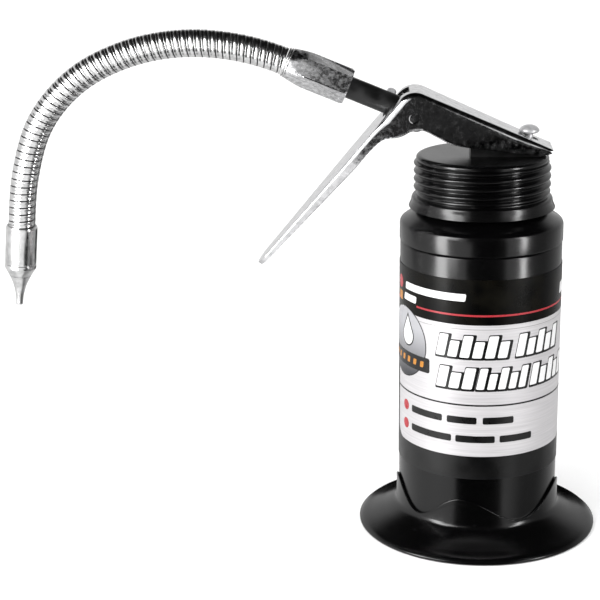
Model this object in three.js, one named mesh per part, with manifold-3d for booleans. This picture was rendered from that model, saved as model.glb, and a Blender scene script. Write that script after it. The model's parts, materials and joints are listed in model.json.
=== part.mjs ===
// Pistol-grip oiler: a drawn steel can on a flared foot, a screw cap that carries an
// up-stroke pump, a squeeze lever, and a flexible metal spout with a tapered nozzle.
// Millimetres, +Z up. The origin is the can's axis at the plane the foot stands on,
// and the lever, pump and spout all lie in the XZ plane with the spout towards -X.

import * as THREE from "three";
import { mergeVertices } from "three/addons/utils/BufferGeometryUtils.js";
import Module from "manifold-3d";

const wasm = await Module();
wasm.setup();

// ---- Driving dimensions -------------------------------------------------------

const degrees = Math.PI / 180;
const round_sides = 32; // facets round the can and the cap
const foot_sides = 48; // facets round the foot, enough for its wavy edge
const small_sides = 16; // facets round rods, tubes and the hose
const loose_fit = 0.1; // gap between pieces that only touch
const running_fit = 0.1; // radial gap between a turning pin and its hole
const press_fit = 0.05; // gap between pieces that are pushed or brazed together
const seat_fit = 0.02; // gap under a piece that stands on another
const cut_margin = 1; // how far a cutter reaches past what it cuts
const eighth_turn = 1 - Math.SQRT1_2; // share of a corner's radius left at its middle

const can_radius = 26;
const can_height = 97.5; // foot plane to the seam under the shoulder
const can_wall = 0.6;
const can_corner = 1.5;
const seam_overlap = 3.5; // how far the body's rim goes up inside the shoulder
const seam_fit = 0.2;
const seam_drop = 0.9; // the body starts to neck in this far below the seam
const seam_slope = 0.7; // height of the necked-in step

const label_bottom = 24.1;
const label_top_drop = 7.2; // the label ends this far below the seam
const label_thickness = 0.15;

const foot_brim = 13.2; // how far the brim reaches out past the can
const foot_wall = 0.7;
const foot_root_height = 8.4; // where the brim runs into the sleeve
const foot_rim_width = 1.2; // the flat ring that stands on the floor
const foot_rim_height = 0.6;
const brim_edge_height = 1.9; // top of the brim just inside its rim
const brim_underside = 1.1;
const brim_fillet = 3;
const sleeve_mid_height = 13; // mean height of the wavy sleeve edge
const sleeve_wave = 4; // half of the wave's height
const sleeve_crests = [-172, -104.5, -15, 52.7, 120.3].map((angle) => angle * degrees);

const shoulder_skirt = 6; // height of the straight skirt above the seam
const shoulder_wall = 0.6;
const shoulder_proud = 0.2; // the skirt stands out past the body by this
const neck_radius = 20;
const shoulder_round = 1.4;
const neck_foot_rise = 5; // from the shoulder's edge to the foot of the neck
const neck_thread_start = 2.2; // first crest above the neck's foot
const neck_plain = 3.6; // unthreaded length of the neck
const neck_bead = 0.45;

const gasket_thickness = 1.5;
const cap_wall = 0.8;
const cap_disc_overhang = 0.2; // the flat disc reaches past the neck's crests
const cap_edge_round = 1;
const cap_first_crest = 3.5; // below the cap's top face
const cap_thread_clearance = 0.25; // between the neck's crests and the cap's bore
const cap_bead = 1.05;
const thread_pitch = 2.6;
const thread_turns = 4;
const lip_height = 4.2;
const lip_step = 1.6; // how far the lip's top stands out from the thread's root
const lip_lean = 0.3;
const lip_flare = 2.6;

const pump_neck_gap = 0.15; // between the head's spigot and the inside of the neck
const barrel_radius = 3.5;
const barrel_wall = 0.6;
const barrel_length = 30;
const barrel_rise = 0.25; // the barrel ends this far above the cap, in the head
const rod_radius = 1.2;
const spigot_wall = 0.65; // the head's spigot round the barrel
const spigot_depth = 4.4;
const chamber_height = 1.2; // oil chamber in the head above the barrel
const passage_radius = 0.7; // from the chamber to the spout tube
const seal_length = 1.1;
const piston_length = 3;
const piston_floor_gap = 2; // between the resting piston and the barrel's end
const piston_fit = 0.03; // between the piston rings and the rod
const rod_end = 0.8; // the rod sticks out below its piston
const cup_length = 1.5;
const spring_wire = 0.7;
const spring_turns = 8;
const spring_steps = 8; // straight pieces in each turn of the spring
const spring_rod_gap = 0.5;
const spring_foot_gap = 0.3;
const spring_head_gap = 0.15;
const valve_wall = 0.6;
const valve_seat_radius = 0.9;
const valve_floor_thickness = 2;
const valve_nose_length = 4;
const valve_grip = 4; // depth of the valve's mouth round the barrel
const flap_gap = 0.4;
const flap_thickness = 0.6;

const head_width = 10.4;
const head_front_x = -4;
const head_rear_reach = 5; // from the pump's axis to the head's rear face
const head_cover = 5.2; // metal above the spout tube's axis
const head_screw_x = 3.5;
const head_screw_radius = 1.5;
const head_screw_depth = 1.6; // thread length above the cap
const screw_head_radius = 2.9;
const screw_head_height = 1.6;
const screw_head_chamfer = 0.35;

const suction_radius = 2;
const suction_bore = 1.3;
const suction_end_height = 7; // open end above the can's floor
const strainer_radius = 4.2;
const strainer_height = 5;
const strainer_wall = 0.8;
const strainer_drop = 2.5; // its floor lies this far below the suction tube's end
const strainer_slot_width = 1.6;
const strainer_slot_height = 1;

const pivot_x = -22;
const pivot_rise = 13; // lever pivot above the cap's top face
const spout_slope = 22.3 * degrees;
const tube_radius = 3.5;
const tube_bore = 1.6;
const tube_socket = 3; // how far the tube's lower end goes into the head

const yoke_half_height = 4.4;
const yoke_front = 3.3;
const yoke_rear = 4.3;
const yoke_side_gap = 0.5; // between the yoke's ends and the lever's cheeks
const stud_radius = 1.5;
const yoke_web = 1.15; // metal left between the spout tube and each stud's hole
const stud_proud = 0.3;

const lever_width = 20;
const lever_rear_width = 14.6;
const lever_sheet = 1.3;
const lever_plate_slope = 23.8 * degrees;
const lever_plate_offset = 8.04; // plate's top face to the pivot
const lever_plate_reach = 44.3; // rear end, along the plate from the pivot
const trigger_slope = 50.5 * degrees;
const trigger_offset = 6.29; // trigger's front face to the pivot
const trigger_reach = 70.7; // tip, down the trigger from the pivot
const trigger_corner = 5;
const lever_bend_radius = 6.7;
const lever_travel = 22 * degrees;
const lever_floor_gap = 0.35; // cheeks to the cap's top face when released
const lever_taper_start = 4; // the sides draw in from here, behind the pivot
const cheek_fade = 34; // the cheeks run out this far down the trigger
const window_side_gap = 1.1;
const window_tube_gap = 0.4;
const window_reach = 14;
const slot_front_gap = 1; // from the plunger's rod to the ends and sides of its slot
const slot_rear_gap = 1.9;
const slot_side_gap = 0.35;

const head_dome_radius = 3.2;
const head_dome_rise = 1.9;
const head_dome_drop = 0.7;
const head_dome_gap = 0.4; // between the released lever and the dome's underside

const nut_across_flats = 10.1;
const nut_length = 20.2;
const nut_start = 22.2; // along the spout tube from the pivot
const nut_turn = 15 * degrees; // how far one flat is rolled up from facing sideways
const nut_grip = 8; // length of spout tube inside the nut
const nut_hex_share = 0.6; // share of the nut's length with full flats
const nut_chamfer = 0.9;
const nut_nose_step = 0.5; // the nut's nose stands out past the hose
const collar_length = 1.6;
const collar_groove = 0.1;

const hose_radius = 4.4;
const hose_bore = 1.5;
const hose_ball_gap = 0.2;
const hose_joint_gap = 1.3; // room for two lengths to tilt towards each other
const hose_segments = 7;
const hose_bends = [
  { length: 30.0, turn: 22.3 * degrees },
  { length: 33.5, turn: 29.3 * degrees },
  { length: 40.6, turn: 50.7 * degrees },
  { length: 18.8, turn: 5.0 * degrees },
];

const ferrule_wall = 0.55;
const ferrule_chamfer = 0.35;
const ferrule_groove_depth = 0.25;
const ferrule_groove_rise = 1.4; // the groove lies this far above the cone
const ferrule_groove_half = 0.3;
const ferrule_length = 17;
const ferrule_cone = 2.8;
const ferrule_mouth = 3.55; // radius of the cone's small end
const ferrule_grip = 3; // length of hose inside the ferrule
const nozzle_plug_depth = 4;
const nozzle_plug_wall = 0.6;
const nozzle_length = 9.9;
const nozzle_end_radius = 1.15;
const nozzle_bore = 0.6;

// ---- Sizes that follow from them ----------------------------------------------

const skirt_radius = can_radius + shoulder_proud;
const label_top = can_height - label_top_drop;
const foot_radius = can_radius + foot_brim;
const shoulder_edge = can_height + shoulder_skirt;
const neck_foot = shoulder_edge + neck_foot_rise;
const thread_length = thread_pitch * thread_turns;
const neck_top = neck_foot + neck_plain + thread_length;
const cap_inner_top = neck_top + loose_fit + gasket_thickness;
const cap_top = cap_inner_top + cap_wall;
const cap_bore = neck_radius + cap_thread_clearance;
const cap_disc_radius = neck_radius + cap_disc_overhang;
const thread_root = neck_radius + cap_wall;
const lip_bottom = cap_top - gasket_thickness - cap_wall - thread_length - lip_height;
const neck_inside = neck_radius - neck_bead - shoulder_wall;

const barrel_bore = barrel_radius - barrel_wall;
const barrel_top = cap_top + barrel_rise;
const barrel_bottom = barrel_top - barrel_length;
const spigot_bore = barrel_radius + press_fit;
const spigot_radius = spigot_bore + spigot_wall;
const pump_x = neck_inside - spigot_radius - pump_neck_gap;
const head_rear_x = pump_x + head_rear_reach;
const chamber_top = barrel_top + chamber_height;
const piston_radius = barrel_bore - running_fit;
const piston_bottom = barrel_bottom + piston_floor_gap;
const seal_top = barrel_top - loose_fit;
const seal_bottom = seal_top - seal_length;
const ferrule_radius = hose_radius + hose_ball_gap + ferrule_wall;
const nut_nose_radius = hose_radius + nut_nose_step;

const pivot = new THREE.Vector3(pivot_x, 0, cap_top + pivot_rise);
const spout_direction = new THREE.Vector3(-Math.cos(spout_slope), 0, Math.sin(spout_slope));

// ---- Solids ---------------------------------------------------------------------

// A closed three.js geometry as a manifold solid: shared corners merged, slivers at
// the axis dropped, and faces turned outwards.
function solid(geometry) {
  const bare = geometry.clone();
  bare.deleteAttribute("normal");
  bare.deleteAttribute("uv");
  const merged = mergeVertices(bare, 1e-5);
  const source = merged.index.array;
  const corners = merged.attributes.position;
  const triangles = [];
  let volume = 0;
  for (let i = 0; i < source.length; i += 3) {
    const [a, b, c] = [source[i], source[i + 1], source[i + 2]];
    if (a === b || b === c || c === a) continue;
    triangles.push(a, b, c);
    const p = new THREE.Vector3().fromBufferAttribute(corners, a);
    const q = new THREE.Vector3().fromBufferAttribute(corners, b);
    const r = new THREE.Vector3().fromBufferAttribute(corners, c);
    volume += p.dot(q.cross(r));
  }
  if (volume < 0) {
    for (let i = 0; i < triangles.length; i += 3) {
      [triangles[i], triangles[i + 1]] = [triangles[i + 1], triangles[i]];
    }
  }
  return new wasm.Manifold(
    new wasm.Mesh({
      numProp: 3,
      vertProperties: new Float32Array(corners.array),
      triVerts: new Uint32Array(triangles),
    }),
  );
}

function geometryOf(manifold) {
  const mesh = manifold.getMesh();
  const geometry = new THREE.BufferGeometry();
  geometry.setAttribute("position", new THREE.BufferAttribute(mesh.vertProperties, 3));
  geometry.setIndex(new THREE.BufferAttribute(mesh.triVerts, 1));
  return geometry;
}

// A turned solid about a vertical axis at (x, 0), from [radius, height] points. A
// profile that leaves the axis must come back to it; any other is closed up.
function turned(profile, sides = small_sides, x = 0) {
  const points = profile.map(([radius, height]) => new THREE.Vector2(radius, height));
  const onAxis = profile[0][0] === 0;
  if (!onAxis) points.push(points[0].clone());
  const geometry = new THREE.LatheGeometry(points, sides);
  geometry.rotateX(Math.PI / 2);
  geometry.translate(x, 0, 0);
  return solid(geometry);
}

// An outline in the XZ plane, given as [x, z] points, extruded across Y.
function plate(outline, yLow, yHigh) {
  const shape = new THREE.Shape(outline.map(([x, z]) => new THREE.Vector2(x, z)));
  const geometry = new THREE.ExtrudeGeometry(shape, {
    depth: yHigh - yLow,
    bevelEnabled: false,
  });
  geometry.rotateX(Math.PI / 2);
  geometry.translate(0, yHigh, 0);
  return solid(geometry);
}

// Turned solids on the line from a point in a direction that lies in the XZ plane:
// the profile's heights are distances along it.
function turnedAlong(profile, start, direction, sides = small_sides) {
  const points = profile.map(([radius, height]) => new THREE.Vector2(radius, height));
  if (profile[0][0] !== 0) points.push(points[0].clone());
  const geometry = new THREE.LatheGeometry(points, sides);
  geometry.applyMatrix4(alignment(start, direction));
  return solid(geometry);
}

function alignment(start, direction) {
  const across = new THREE.Vector3(0, 1, 0).cross(direction).normalize();
  return new THREE.Matrix4()
    .makeBasis(across, direction, across.clone().cross(direction))
    .setPosition(start);
}

// A plain cylinder that stands upright at x.
function upright(radius, low, high, x) {
  return turned(
    [
      [0, low],
      [radius, low],
      [radius, high],
      [0, high],
    ],
    small_sides,
    x,
  );
}

// A plain cylinder on the line from a point in a direction in the XZ plane.
function rodAlong(radius, from, to, start, direction, sides = small_sides) {
  return turnedAlong(
    [
      [0, from],
      [radius, from],
      [radius, to],
      [0, to],
    ],
    start,
    direction,
    sides,
  );
}

function crossCylinder(radius, yLow, yHigh, x, z, sides = small_sides) {
  const geometry = new THREE.CylinderGeometry(radius, radius, yHigh - yLow, sides);
  geometry.translate(x, (yLow + yHigh) / 2, z);
  return solid(geometry);
}

function alongSpout(distance) {
  return pivot.clone().addScaledVector(spout_direction, distance);
}

// ---- Can ------------------------------------------------------------------------

function canBody() {
  const rim = skirt_radius - shoulder_wall - seam_fit;
  const step = can_height - seam_drop;
  const sheet_shift = can_wall / 2;
  return turned(
    [
      [0, 0],
      [can_radius - can_corner, 0],
      [can_radius - eighth_turn * can_corner, eighth_turn * can_corner],
      [can_radius, can_corner],
      [can_radius, step],
      [rim, step + seam_slope],
      [rim, can_height + seam_overlap],
      [rim - can_wall, can_height + seam_overlap],
      [rim - can_wall, step + seam_slope - sheet_shift],
      [can_radius - can_wall, step - sheet_shift],
      [can_radius - can_wall, can_corner],
      [can_radius - can_corner, can_wall],
      [0, can_wall],
    ],
    round_sides,
  );
}

function bodyLabel() {
  const inner = can_radius + press_fit;
  return turned(
    [
      [inner, label_bottom],
      [inner + label_thickness, label_bottom],
      [inner + label_thickness, label_top],
      [inner, label_top],
    ],
    round_sides,
  );
}

// Height of the sleeve's wavy edge: a cosine from each crest to the next.
function sleeveEdge(angle) {
  const turn = 2 * Math.PI;
  const crests = [...sleeve_crests, sleeve_crests[0] + turn];
  const from = crests[0] + ((((angle - crests[0]) % turn) + turn) % turn);
  const index = crests.findIndex((crest, i) => from >= crest && from <= crests[i + 1]);
  const share = (from - crests[index]) / (crests[index + 1] - crests[index]);
  return sleeve_mid_height + sleeve_wave * Math.cos(turn * share);
}

// Flared foot: a brim that slopes down to a rolled rim, and a sleeve round the can
// whose upper edge rises and falls in waves.
function footFlange() {
  const inner = can_radius + loose_fit;
  const outer = inner + foot_wall;
  const root = foot_root_height;
  const profile = [
    [inner, root - 0.65 * brim_fillet],
    [outer + 0.45 * brim_fillet, root - 0.85 * brim_fillet],
    [foot_radius - 2 * foot_rim_width, brim_underside],
    [foot_radius - foot_rim_width, 0],
    [foot_radius, 0],
    [foot_radius, foot_rim_height],
    [foot_radius - foot_rim_width, brim_edge_height],
    [outer + brim_fillet, root - 0.8 * brim_fillet],
    [outer + eighth_turn * brim_fillet, root - eighth_turn * brim_fillet],
    [outer, root + eighth_turn * brim_fillet],
    [outer, sleeve_mid_height],
    [inner, sleeve_mid_height],
  ];
  const points = profile.map(([radius, height]) => new THREE.Vector2(radius, height));
  points.push(points[0].clone());
  const geometry = new THREE.LatheGeometry(points, foot_sides);
  geometry.rotateX(Math.PI / 2);
  const corners = geometry.attributes.position;
  for (let i = 0; i < corners.count; i += 1) {
    if (corners.getZ(i) > sleeve_mid_height - seat_fit) {
      corners.setZ(i, sleeveEdge(Math.atan2(corners.getY(i), corners.getX(i))));
    }
  }
  return solid(geometry);
}

// Shoulder and neck, drawn as one piece and seamed to the body.
function canShoulder() {
  const profile = [
    [skirt_radius - shoulder_wall, can_height],
    [skirt_radius, can_height],
    [skirt_radius, shoulder_edge - 0.4 * shoulder_round],
    [skirt_radius - eighth_turn * shoulder_round, shoulder_edge + 0.25 * shoulder_round],
    [skirt_radius - shoulder_round, shoulder_edge + 0.65 * shoulder_round],
    [neck_radius - neck_bead, neck_foot],
  ];
  for (let i = 0; i < thread_turns; i += 1) {
    const centre = neck_foot + neck_thread_start + i * thread_pitch;
    profile.push([neck_radius, centre]);
    profile.push([neck_radius - neck_bead, centre + 0.5 * thread_pitch]);
  }
  profile.push([neck_radius - neck_bead, neck_top]);
  const inside = skirt_radius - shoulder_wall;
  profile.push([neck_inside, neck_top]);
  profile.push([neck_inside, neck_foot - shoulder_wall]);
  profile.push([inside - 0.85 * shoulder_round, shoulder_edge + 0.2 * shoulder_round]);
  profile.push([inside, shoulder_edge - 0.55 * shoulder_round]);
  return turned(profile, round_sides);
}

// ---- Cap ------------------------------------------------------------------------

function capGasket() {
  return turned(
    [
      [neck_inside, neck_top + loose_fit / 2],
      [neck_radius + loose_fit, neck_top + loose_fit / 2],
      [neck_radius + loose_fit, cap_inner_top - loose_fit / 2],
      [neck_inside, cap_inner_top - loose_fit / 2],
    ],
    round_sides,
  );
}

// Pressed steel cap: flat disc, rolled thread crests, and a flared lip. It is pierced
// for the pump's spigot and for the screw that holds the pump head.
function screwCap() {
  const profile = [
    [0, cap_top],
    [cap_disc_radius, cap_top],
    [cap_disc_radius + (1 - eighth_turn) * cap_edge_round, cap_top - 0.4 * cap_edge_round],
    [cap_disc_radius + 0.8 * cap_edge_round, cap_top - cap_edge_round],
    [thread_root, cap_top - cap_first_crest + thread_pitch / 2],
  ];
  for (let i = 0; i < thread_turns; i += 1) {
    const centre = cap_top - cap_first_crest - i * thread_pitch;
    profile.push([thread_root + cap_bead, centre]);
    profile.push([thread_root, centre - 0.5 * thread_pitch]);
  }
  profile.push([thread_root + lip_step, lip_bottom + lip_height - cap_wall]);
  profile.push([thread_root + lip_step + lip_lean, lip_bottom + lip_height / 2]);
  profile.push([thread_root + lip_flare, lip_bottom]);
  profile.push([thread_root + lip_flare - cap_wall, lip_bottom]);
  profile.push([thread_root + lip_step + lip_lean - cap_wall, lip_bottom + lip_height / 2]);
  profile.push([cap_bore, lip_bottom + lip_height]);
  profile.push([cap_bore, cap_inner_top]);
  profile.push([0, cap_inner_top]);
  const below = cap_inner_top - cut_margin;
  const above = cap_top + cut_margin;
  return turned(profile, round_sides)
    .subtract(upright(spigot_radius + loose_fit, below, above, pump_x))
    .subtract(upright(head_screw_radius + loose_fit, below, above, head_screw_x));
}

// ---- Pump -----------------------------------------------------------------------

// Height of the spout tube's axis, and of the head's sloping top, at a given x.
function spoutAxisHeight(x) {
  return pivot.z - (x - pivot.x) * Math.tan(spout_slope);
}

function headTopHeight(x) {
  return spoutAxisHeight(x) + head_cover / Math.cos(spout_slope);
}

const tube_lower_end = alongSpout(
  -(head_front_x + tube_socket - pivot_x) / Math.cos(spout_slope),
);

// Pump head: a block on the cap that holds the spout tube in front, with a spigot
// down through the cap round the top of the pump barrel.
function pumpHead() {
  const base = cap_top + seat_fit;
  const block = plate(
    [
      [head_front_x, base],
      [head_rear_x, base],
      [head_rear_x, headTopHeight(head_rear_x)],
      [head_front_x, headTopHeight(head_front_x)],
    ],
    -head_width / 2,
    head_width / 2,
  );
  const spigot_bottom = cap_top - spigot_depth;
  const spigot = upright(spigot_radius, spigot_bottom, base + cut_margin, pump_x);
  const above = headTopHeight(pump_x) + head_cover;
  const bore = turned(
    [
      [0, spigot_bottom - cut_margin],
      [spigot_bore, spigot_bottom - cut_margin],
      [spigot_bore, barrel_top + press_fit],
      [barrel_bore, barrel_top + press_fit],
      [barrel_bore, chamber_top],
      [rod_radius + running_fit, chamber_top],
      [rod_radius + running_fit, above],
      [0, above],
    ],
    small_sides,
    pump_x,
  );
  const socket_reach = 4 * tube_socket;
  const socket = rodAlong(tube_radius + press_fit, 0, socket_reach, tube_lower_end, spout_direction);
  const passage_end = new THREE.Vector3(pump_x - 0.9 * barrel_bore, 0, chamber_top - chamber_height / 2);
  const passage_start = tube_lower_end.clone().addScaledVector(spout_direction, cut_margin);
  const passage_direction = passage_start.clone().sub(passage_end).normalize();
  const passage_length = passage_start.distanceTo(passage_end);
  const passage = rodAlong(passage_radius, 0, passage_length, passage_end, passage_direction, 12);
  const screw_hole = upright(
    head_screw_radius + press_fit,
    base - cut_margin,
    cap_top + head_screw_depth + 2 * loose_fit,
    head_screw_x,
  );
  return block.add(spigot).subtract(bore).subtract(socket).subtract(passage).subtract(screw_hole);
}

function headScrew() {
  const under = cap_inner_top - press_fit;
  return turned(
    [
      [0, under - screw_head_height],
      [screw_head_radius - screw_head_chamfer, under - screw_head_height],
      [screw_head_radius, under - screw_head_height + screw_head_chamfer],
      [screw_head_radius, under],
      [head_screw_radius, under],
      [head_screw_radius, cap_top + head_screw_depth],
      [0, cap_top + head_screw_depth],
    ],
    small_sides,
    head_screw_x,
  );
}

function pumpBarrel() {
  return turned(
    [
      [barrel_bore, barrel_bottom],
      [barrel_radius, barrel_bottom],
      [barrel_radius, barrel_top],
      [barrel_bore, barrel_top],
    ],
    small_sides,
    pump_x,
  );
}

function rodSeal() {
  return turned(
    [
      [rod_radius + press_fit, seal_bottom],
      [barrel_bore - press_fit, seal_bottom],
      [barrel_bore - press_fit, seal_top],
      [rod_radius + press_fit, seal_top],
    ],
    small_sides,
    pump_x,
  );
}

// Foot valve: a turned end piece with the barrel in its mouth, a seat, and a nose that
// the suction tube is pushed on.
const valve_floor = barrel_bottom - loose_fit;
const valve_bottom = valve_floor - valve_floor_thickness;
const valve_nose = valve_bottom - valve_nose_length;

function footValve() {
  const mouth = barrel_radius + press_fit;
  const outer = mouth + valve_wall;
  return turned(
    [
      [valve_seat_radius, valve_nose],
      [suction_bore - press_fit, valve_nose],
      [suction_bore - press_fit, valve_bottom],
      [outer, valve_bottom],
      [outer, barrel_bottom + valve_grip],
      [mouth, barrel_bottom + valve_grip],
      [mouth, valve_floor],
      [valve_seat_radius, valve_floor],
    ],
    small_sides,
    pump_x,
  );
}

function valveFlap() {
  const low = barrel_bottom + press_fit;
  return upright(barrel_bore - flap_gap, low, low + flap_thickness, pump_x);
}

const strainer_bottom = suction_end_height - strainer_drop;

function suctionTube() {
  return turned(
    [
      [suction_bore, suction_end_height],
      [suction_radius, suction_end_height],
      [suction_radius, valve_bottom - loose_fit],
      [suction_bore, valve_bottom - loose_fit],
    ],
    small_sides,
    pump_x,
  );
}

// Strainer: a small cup with side holes, pushed over the suction tube's end.
function strainer() {
  const cup = turned(
    [
      [0, strainer_bottom],
      [strainer_radius, strainer_bottom],
      [strainer_radius, strainer_bottom + strainer_height],
      [suction_radius + press_fit, strainer_bottom + strainer_height],
      [suction_radius + press_fit, suction_end_height],
      [strainer_radius - strainer_wall, suction_end_height],
      [strainer_radius - strainer_wall, strainer_bottom + strainer_wall],
      [0, strainer_bottom + strainer_wall],
    ],
    small_sides,
    pump_x,
  );
  const slot = new THREE.BoxGeometry(3 * strainer_radius, strainer_slot_width, strainer_slot_height);
  slot.translate(pump_x, 0, strainer_bottom + 2 * strainer_wall);
  return cup.subtract(solid(slot));
}

// Height of the released lever's plate (top face) at a given x.
function plateHeight(x) {
  const rise = lever_plate_offset / Math.cos(lever_plate_slope);
  return pivot.z + rise - (x - pivot.x) * Math.tan(lever_plate_slope);
}

const dome_height = plateHeight(pump_x - head_dome_radius) + head_dome_gap;

// Plunger rod with its domed head, which the lever lifts from below.
function plungerRod() {
  const profile = [
    [0, piston_bottom - rod_end],
    [rod_radius, piston_bottom - rod_end],
    [rod_radius, dome_height - head_dome_drop],
  ];
  const steps = 5;
  for (let i = 1; i <= steps; i += 1) {
    const angle = (i / steps) * 90 * degrees;
    const radius = rod_radius + (head_dome_radius - rod_radius) * Math.sin(angle);
    profile.push([radius, dome_height - head_dome_drop * Math.cos(angle)]);
  }
  for (let i = 1; i < steps; i += 1) {
    const angle = (i / steps) * 90 * degrees;
    profile.push([head_dome_radius * Math.cos(angle), dome_height + head_dome_rise * Math.sin(angle)]);
  }
  profile.push([0, dome_height + head_dome_rise]);
  return turned(profile, small_sides, pump_x);
}

function pistonRing(bottom, length, radius) {
  return turned(
    [
      [rod_radius + piston_fit, bottom],
      [radius, bottom],
      [radius, bottom + length],
      [rod_radius + piston_fit, bottom + length],
    ],
    small_sides,
    pump_x,
  );
}

class Helix extends THREE.Curve {
  constructor(radius, turns, bottom, top, x) {
    super();
    Object.assign(this, { radius, turns, bottom, top, x });
  }

  getPoint(share, target = new THREE.Vector3()) {
    const angle = share * this.turns * 2 * Math.PI;
    return target.set(
      this.x + this.radius * Math.cos(angle),
      this.radius * Math.sin(angle),
      this.bottom + share * (this.top - this.bottom),
    );
  }
}

function returnSpring() {
  const half_wire = spring_wire / 2;
  const coil_radius = rod_radius + spring_rod_gap + half_wire;
  const low = piston_bottom + piston_length + cup_length + spring_foot_gap + half_wire;
  const high = seal_bottom - spring_head_gap - half_wire;
  const section = new THREE.Shape();
  section.absarc(0, 0, half_wire, 0, 2 * Math.PI);
  return solid(
    new THREE.ExtrudeGeometry(section, {
      steps: spring_turns * spring_steps,
      curveSegments: 3,
      bevelEnabled: false,
      extrudePath: new Helix(coil_radius, spring_turns, low, high, pump_x),
    }),
  );
}

// ---- Spout tube and lever pivot ---------------------------------------------------

function spoutTube() {
  const length = tube_lower_end.distanceTo(alongSpout(nut_start + nut_grip));
  return turnedAlong(
    [
      [tube_bore, loose_fit],
      [tube_radius, loose_fit],
      [tube_radius, length],
      [tube_bore, length],
    ],
    tube_lower_end,
    spout_direction,
  );
}

const cheek_inside = lever_width / 2 - lever_sheet;
const yoke_half_width = cheek_inside - yoke_side_gap;
const stud_hole_end = tube_radius + press_fit + yoke_web;

// Yoke: a block brazed round the spout tube that carries the lever's two studs.
function pivotYoke() {
  const length = yoke_front + yoke_rear;
  const block = new THREE.BoxGeometry(length, 2 * yoke_half_width, 2 * yoke_half_height);
  block.translate((yoke_rear - yoke_front) / 2, 0, 0);
  block.rotateY(spout_slope);
  block.translate(pivot.x, pivot.y, pivot.z);
  const bore = rodAlong(tube_radius + press_fit, -length, length, pivot, spout_direction);
  const stud_hole = stud_radius + press_fit;
  const outer = yoke_half_width + cut_margin;
  return solid(block)
    .subtract(bore)
    .subtract(crossCylinder(stud_hole, -outer, -stud_hole_end, pivot.x, pivot.z))
    .subtract(crossCylinder(stud_hole, stud_hole_end, outer, pivot.x, pivot.z));
}

function pivotStud(side) {
  const inner = side * (stud_hole_end + loose_fit);
  const outer = side * (lever_width / 2 + stud_proud);
  return crossCylinder(stud_radius, Math.min(inner, outer), Math.max(inner, outer), pivot.x, pivot.z);
}

// ---- Lever ------------------------------------------------------------------------

// Unit vectors of the lever's two straight runs, and their outward normals.
const plate_along = [Math.cos(lever_plate_slope), -Math.sin(lever_plate_slope)];
const plate_out = [Math.sin(lever_plate_slope), Math.cos(lever_plate_slope)];
const trigger_along = [-Math.cos(trigger_slope), -Math.sin(trigger_slope)];
const trigger_out = [-Math.sin(trigger_slope), Math.cos(trigger_slope)];

function leverPoint(along, out, distance, offset) {
  return [
    pivot.x + along[0] * distance + out[0] * offset,
    pivot.z + along[1] * distance + out[1] * offset,
  ];
}

// Centre of the bend between trigger and plate: both faces are a bend radius away.
function bendCentre() {
  const a = lever_plate_offset - lever_bend_radius;
  const b = trigger_offset - lever_bend_radius;
  const det = plate_out[0] * trigger_out[1] - plate_out[1] * trigger_out[0];
  return [
    pivot.x + (a * trigger_out[1] - b * plate_out[1]) / det,
    pivot.z + (b * plate_out[0] - a * trigger_out[0]) / det,
  ];
}

// The sheet's path from the trigger's tip over the bend to the plate's rear end, at a
// depth below the outer face.
function sheetPath(depth) {
  const centre = bendCentre();
  const radius = lever_bend_radius - depth;
  const points = [leverPoint(trigger_along, trigger_out, trigger_reach, trigger_offset - depth)];
  const start = Math.PI - (Math.PI / 2 - trigger_slope);
  const end = Math.PI / 2 - lever_plate_slope;
  const steps = 6;
  for (let i = 0; i <= steps; i += 1) {
    const angle = start + ((end - start) * i) / steps;
    points.push([centre[0] + radius * Math.cos(angle), centre[1] + radius * Math.sin(angle)]);
  }
  points.push(leverPoint(plate_along, plate_out, lever_plate_reach, lever_plate_offset - depth));
  return points;
}

// Lower edge of the cheeks, from the rear end to where they run out down the trigger,
// as offsets from the pivot. The rear run lies just above the cap.
function cheekEdge() {
  const floor = cap_top + lever_floor_gap - pivot.z;
  const edge = [
    [40.8, floor],
    [16.5, floor + 3.3],
    [11.5, -8.2],
    [7.5, -6.1],
    [3.4, -3.9],
    [-1, -4.1],
    [-3.2, -5.3],
    [-5.4, -6],
    [-9.5, -6.6],
    [-14.1, -9.2],
  ];
  const fade_offset = trigger_offset - 1.15 * lever_sheet;
  const fade = leverPoint(trigger_along, trigger_out, cheek_fade, fade_offset);
  return [...edge.map(([x, z]) => [pivot.x + x, pivot.z + z]), fade];
}

function leverCheek(side) {
  const outer = side * (lever_width / 2);
  const inner = side * (lever_width / 2 - lever_sheet);
  const depth = 0.6 * lever_sheet; // the cheek's upper edge lies inside the web's sheet
  const upper = sheetPath(depth);
  const start = leverPoint(trigger_along, trigger_out, cheek_fade, trigger_offset - depth);
  const outline = [start, ...upper.slice(1), ...cheekEdge()];
  return plate(outline, Math.min(outer, inner), Math.max(outer, inner));
}

// Window in the front of the bend that the spout tube comes through: the wedge that
// the tube sweeps, seen from the lever, over the lever's travel.
function tubeWindow() {
  const gap = tube_radius + window_tube_gap;
  const reach = window_reach;
  const low = spout_slope;
  const high = spout_slope + lever_travel;
  const corner = (slope, along, across) => [
    pivot.x - along * Math.cos(slope) + across * Math.sin(slope),
    pivot.z + along * Math.sin(slope) + across * Math.cos(slope),
  ];
  const half = tube_radius + window_side_gap;
  return plate(
    [corner(low, 0, -gap), corner(high, 0, gap), corner(high, reach, gap), corner(low, reach, -gap)],
    -half,
    half,
  );
}

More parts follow.
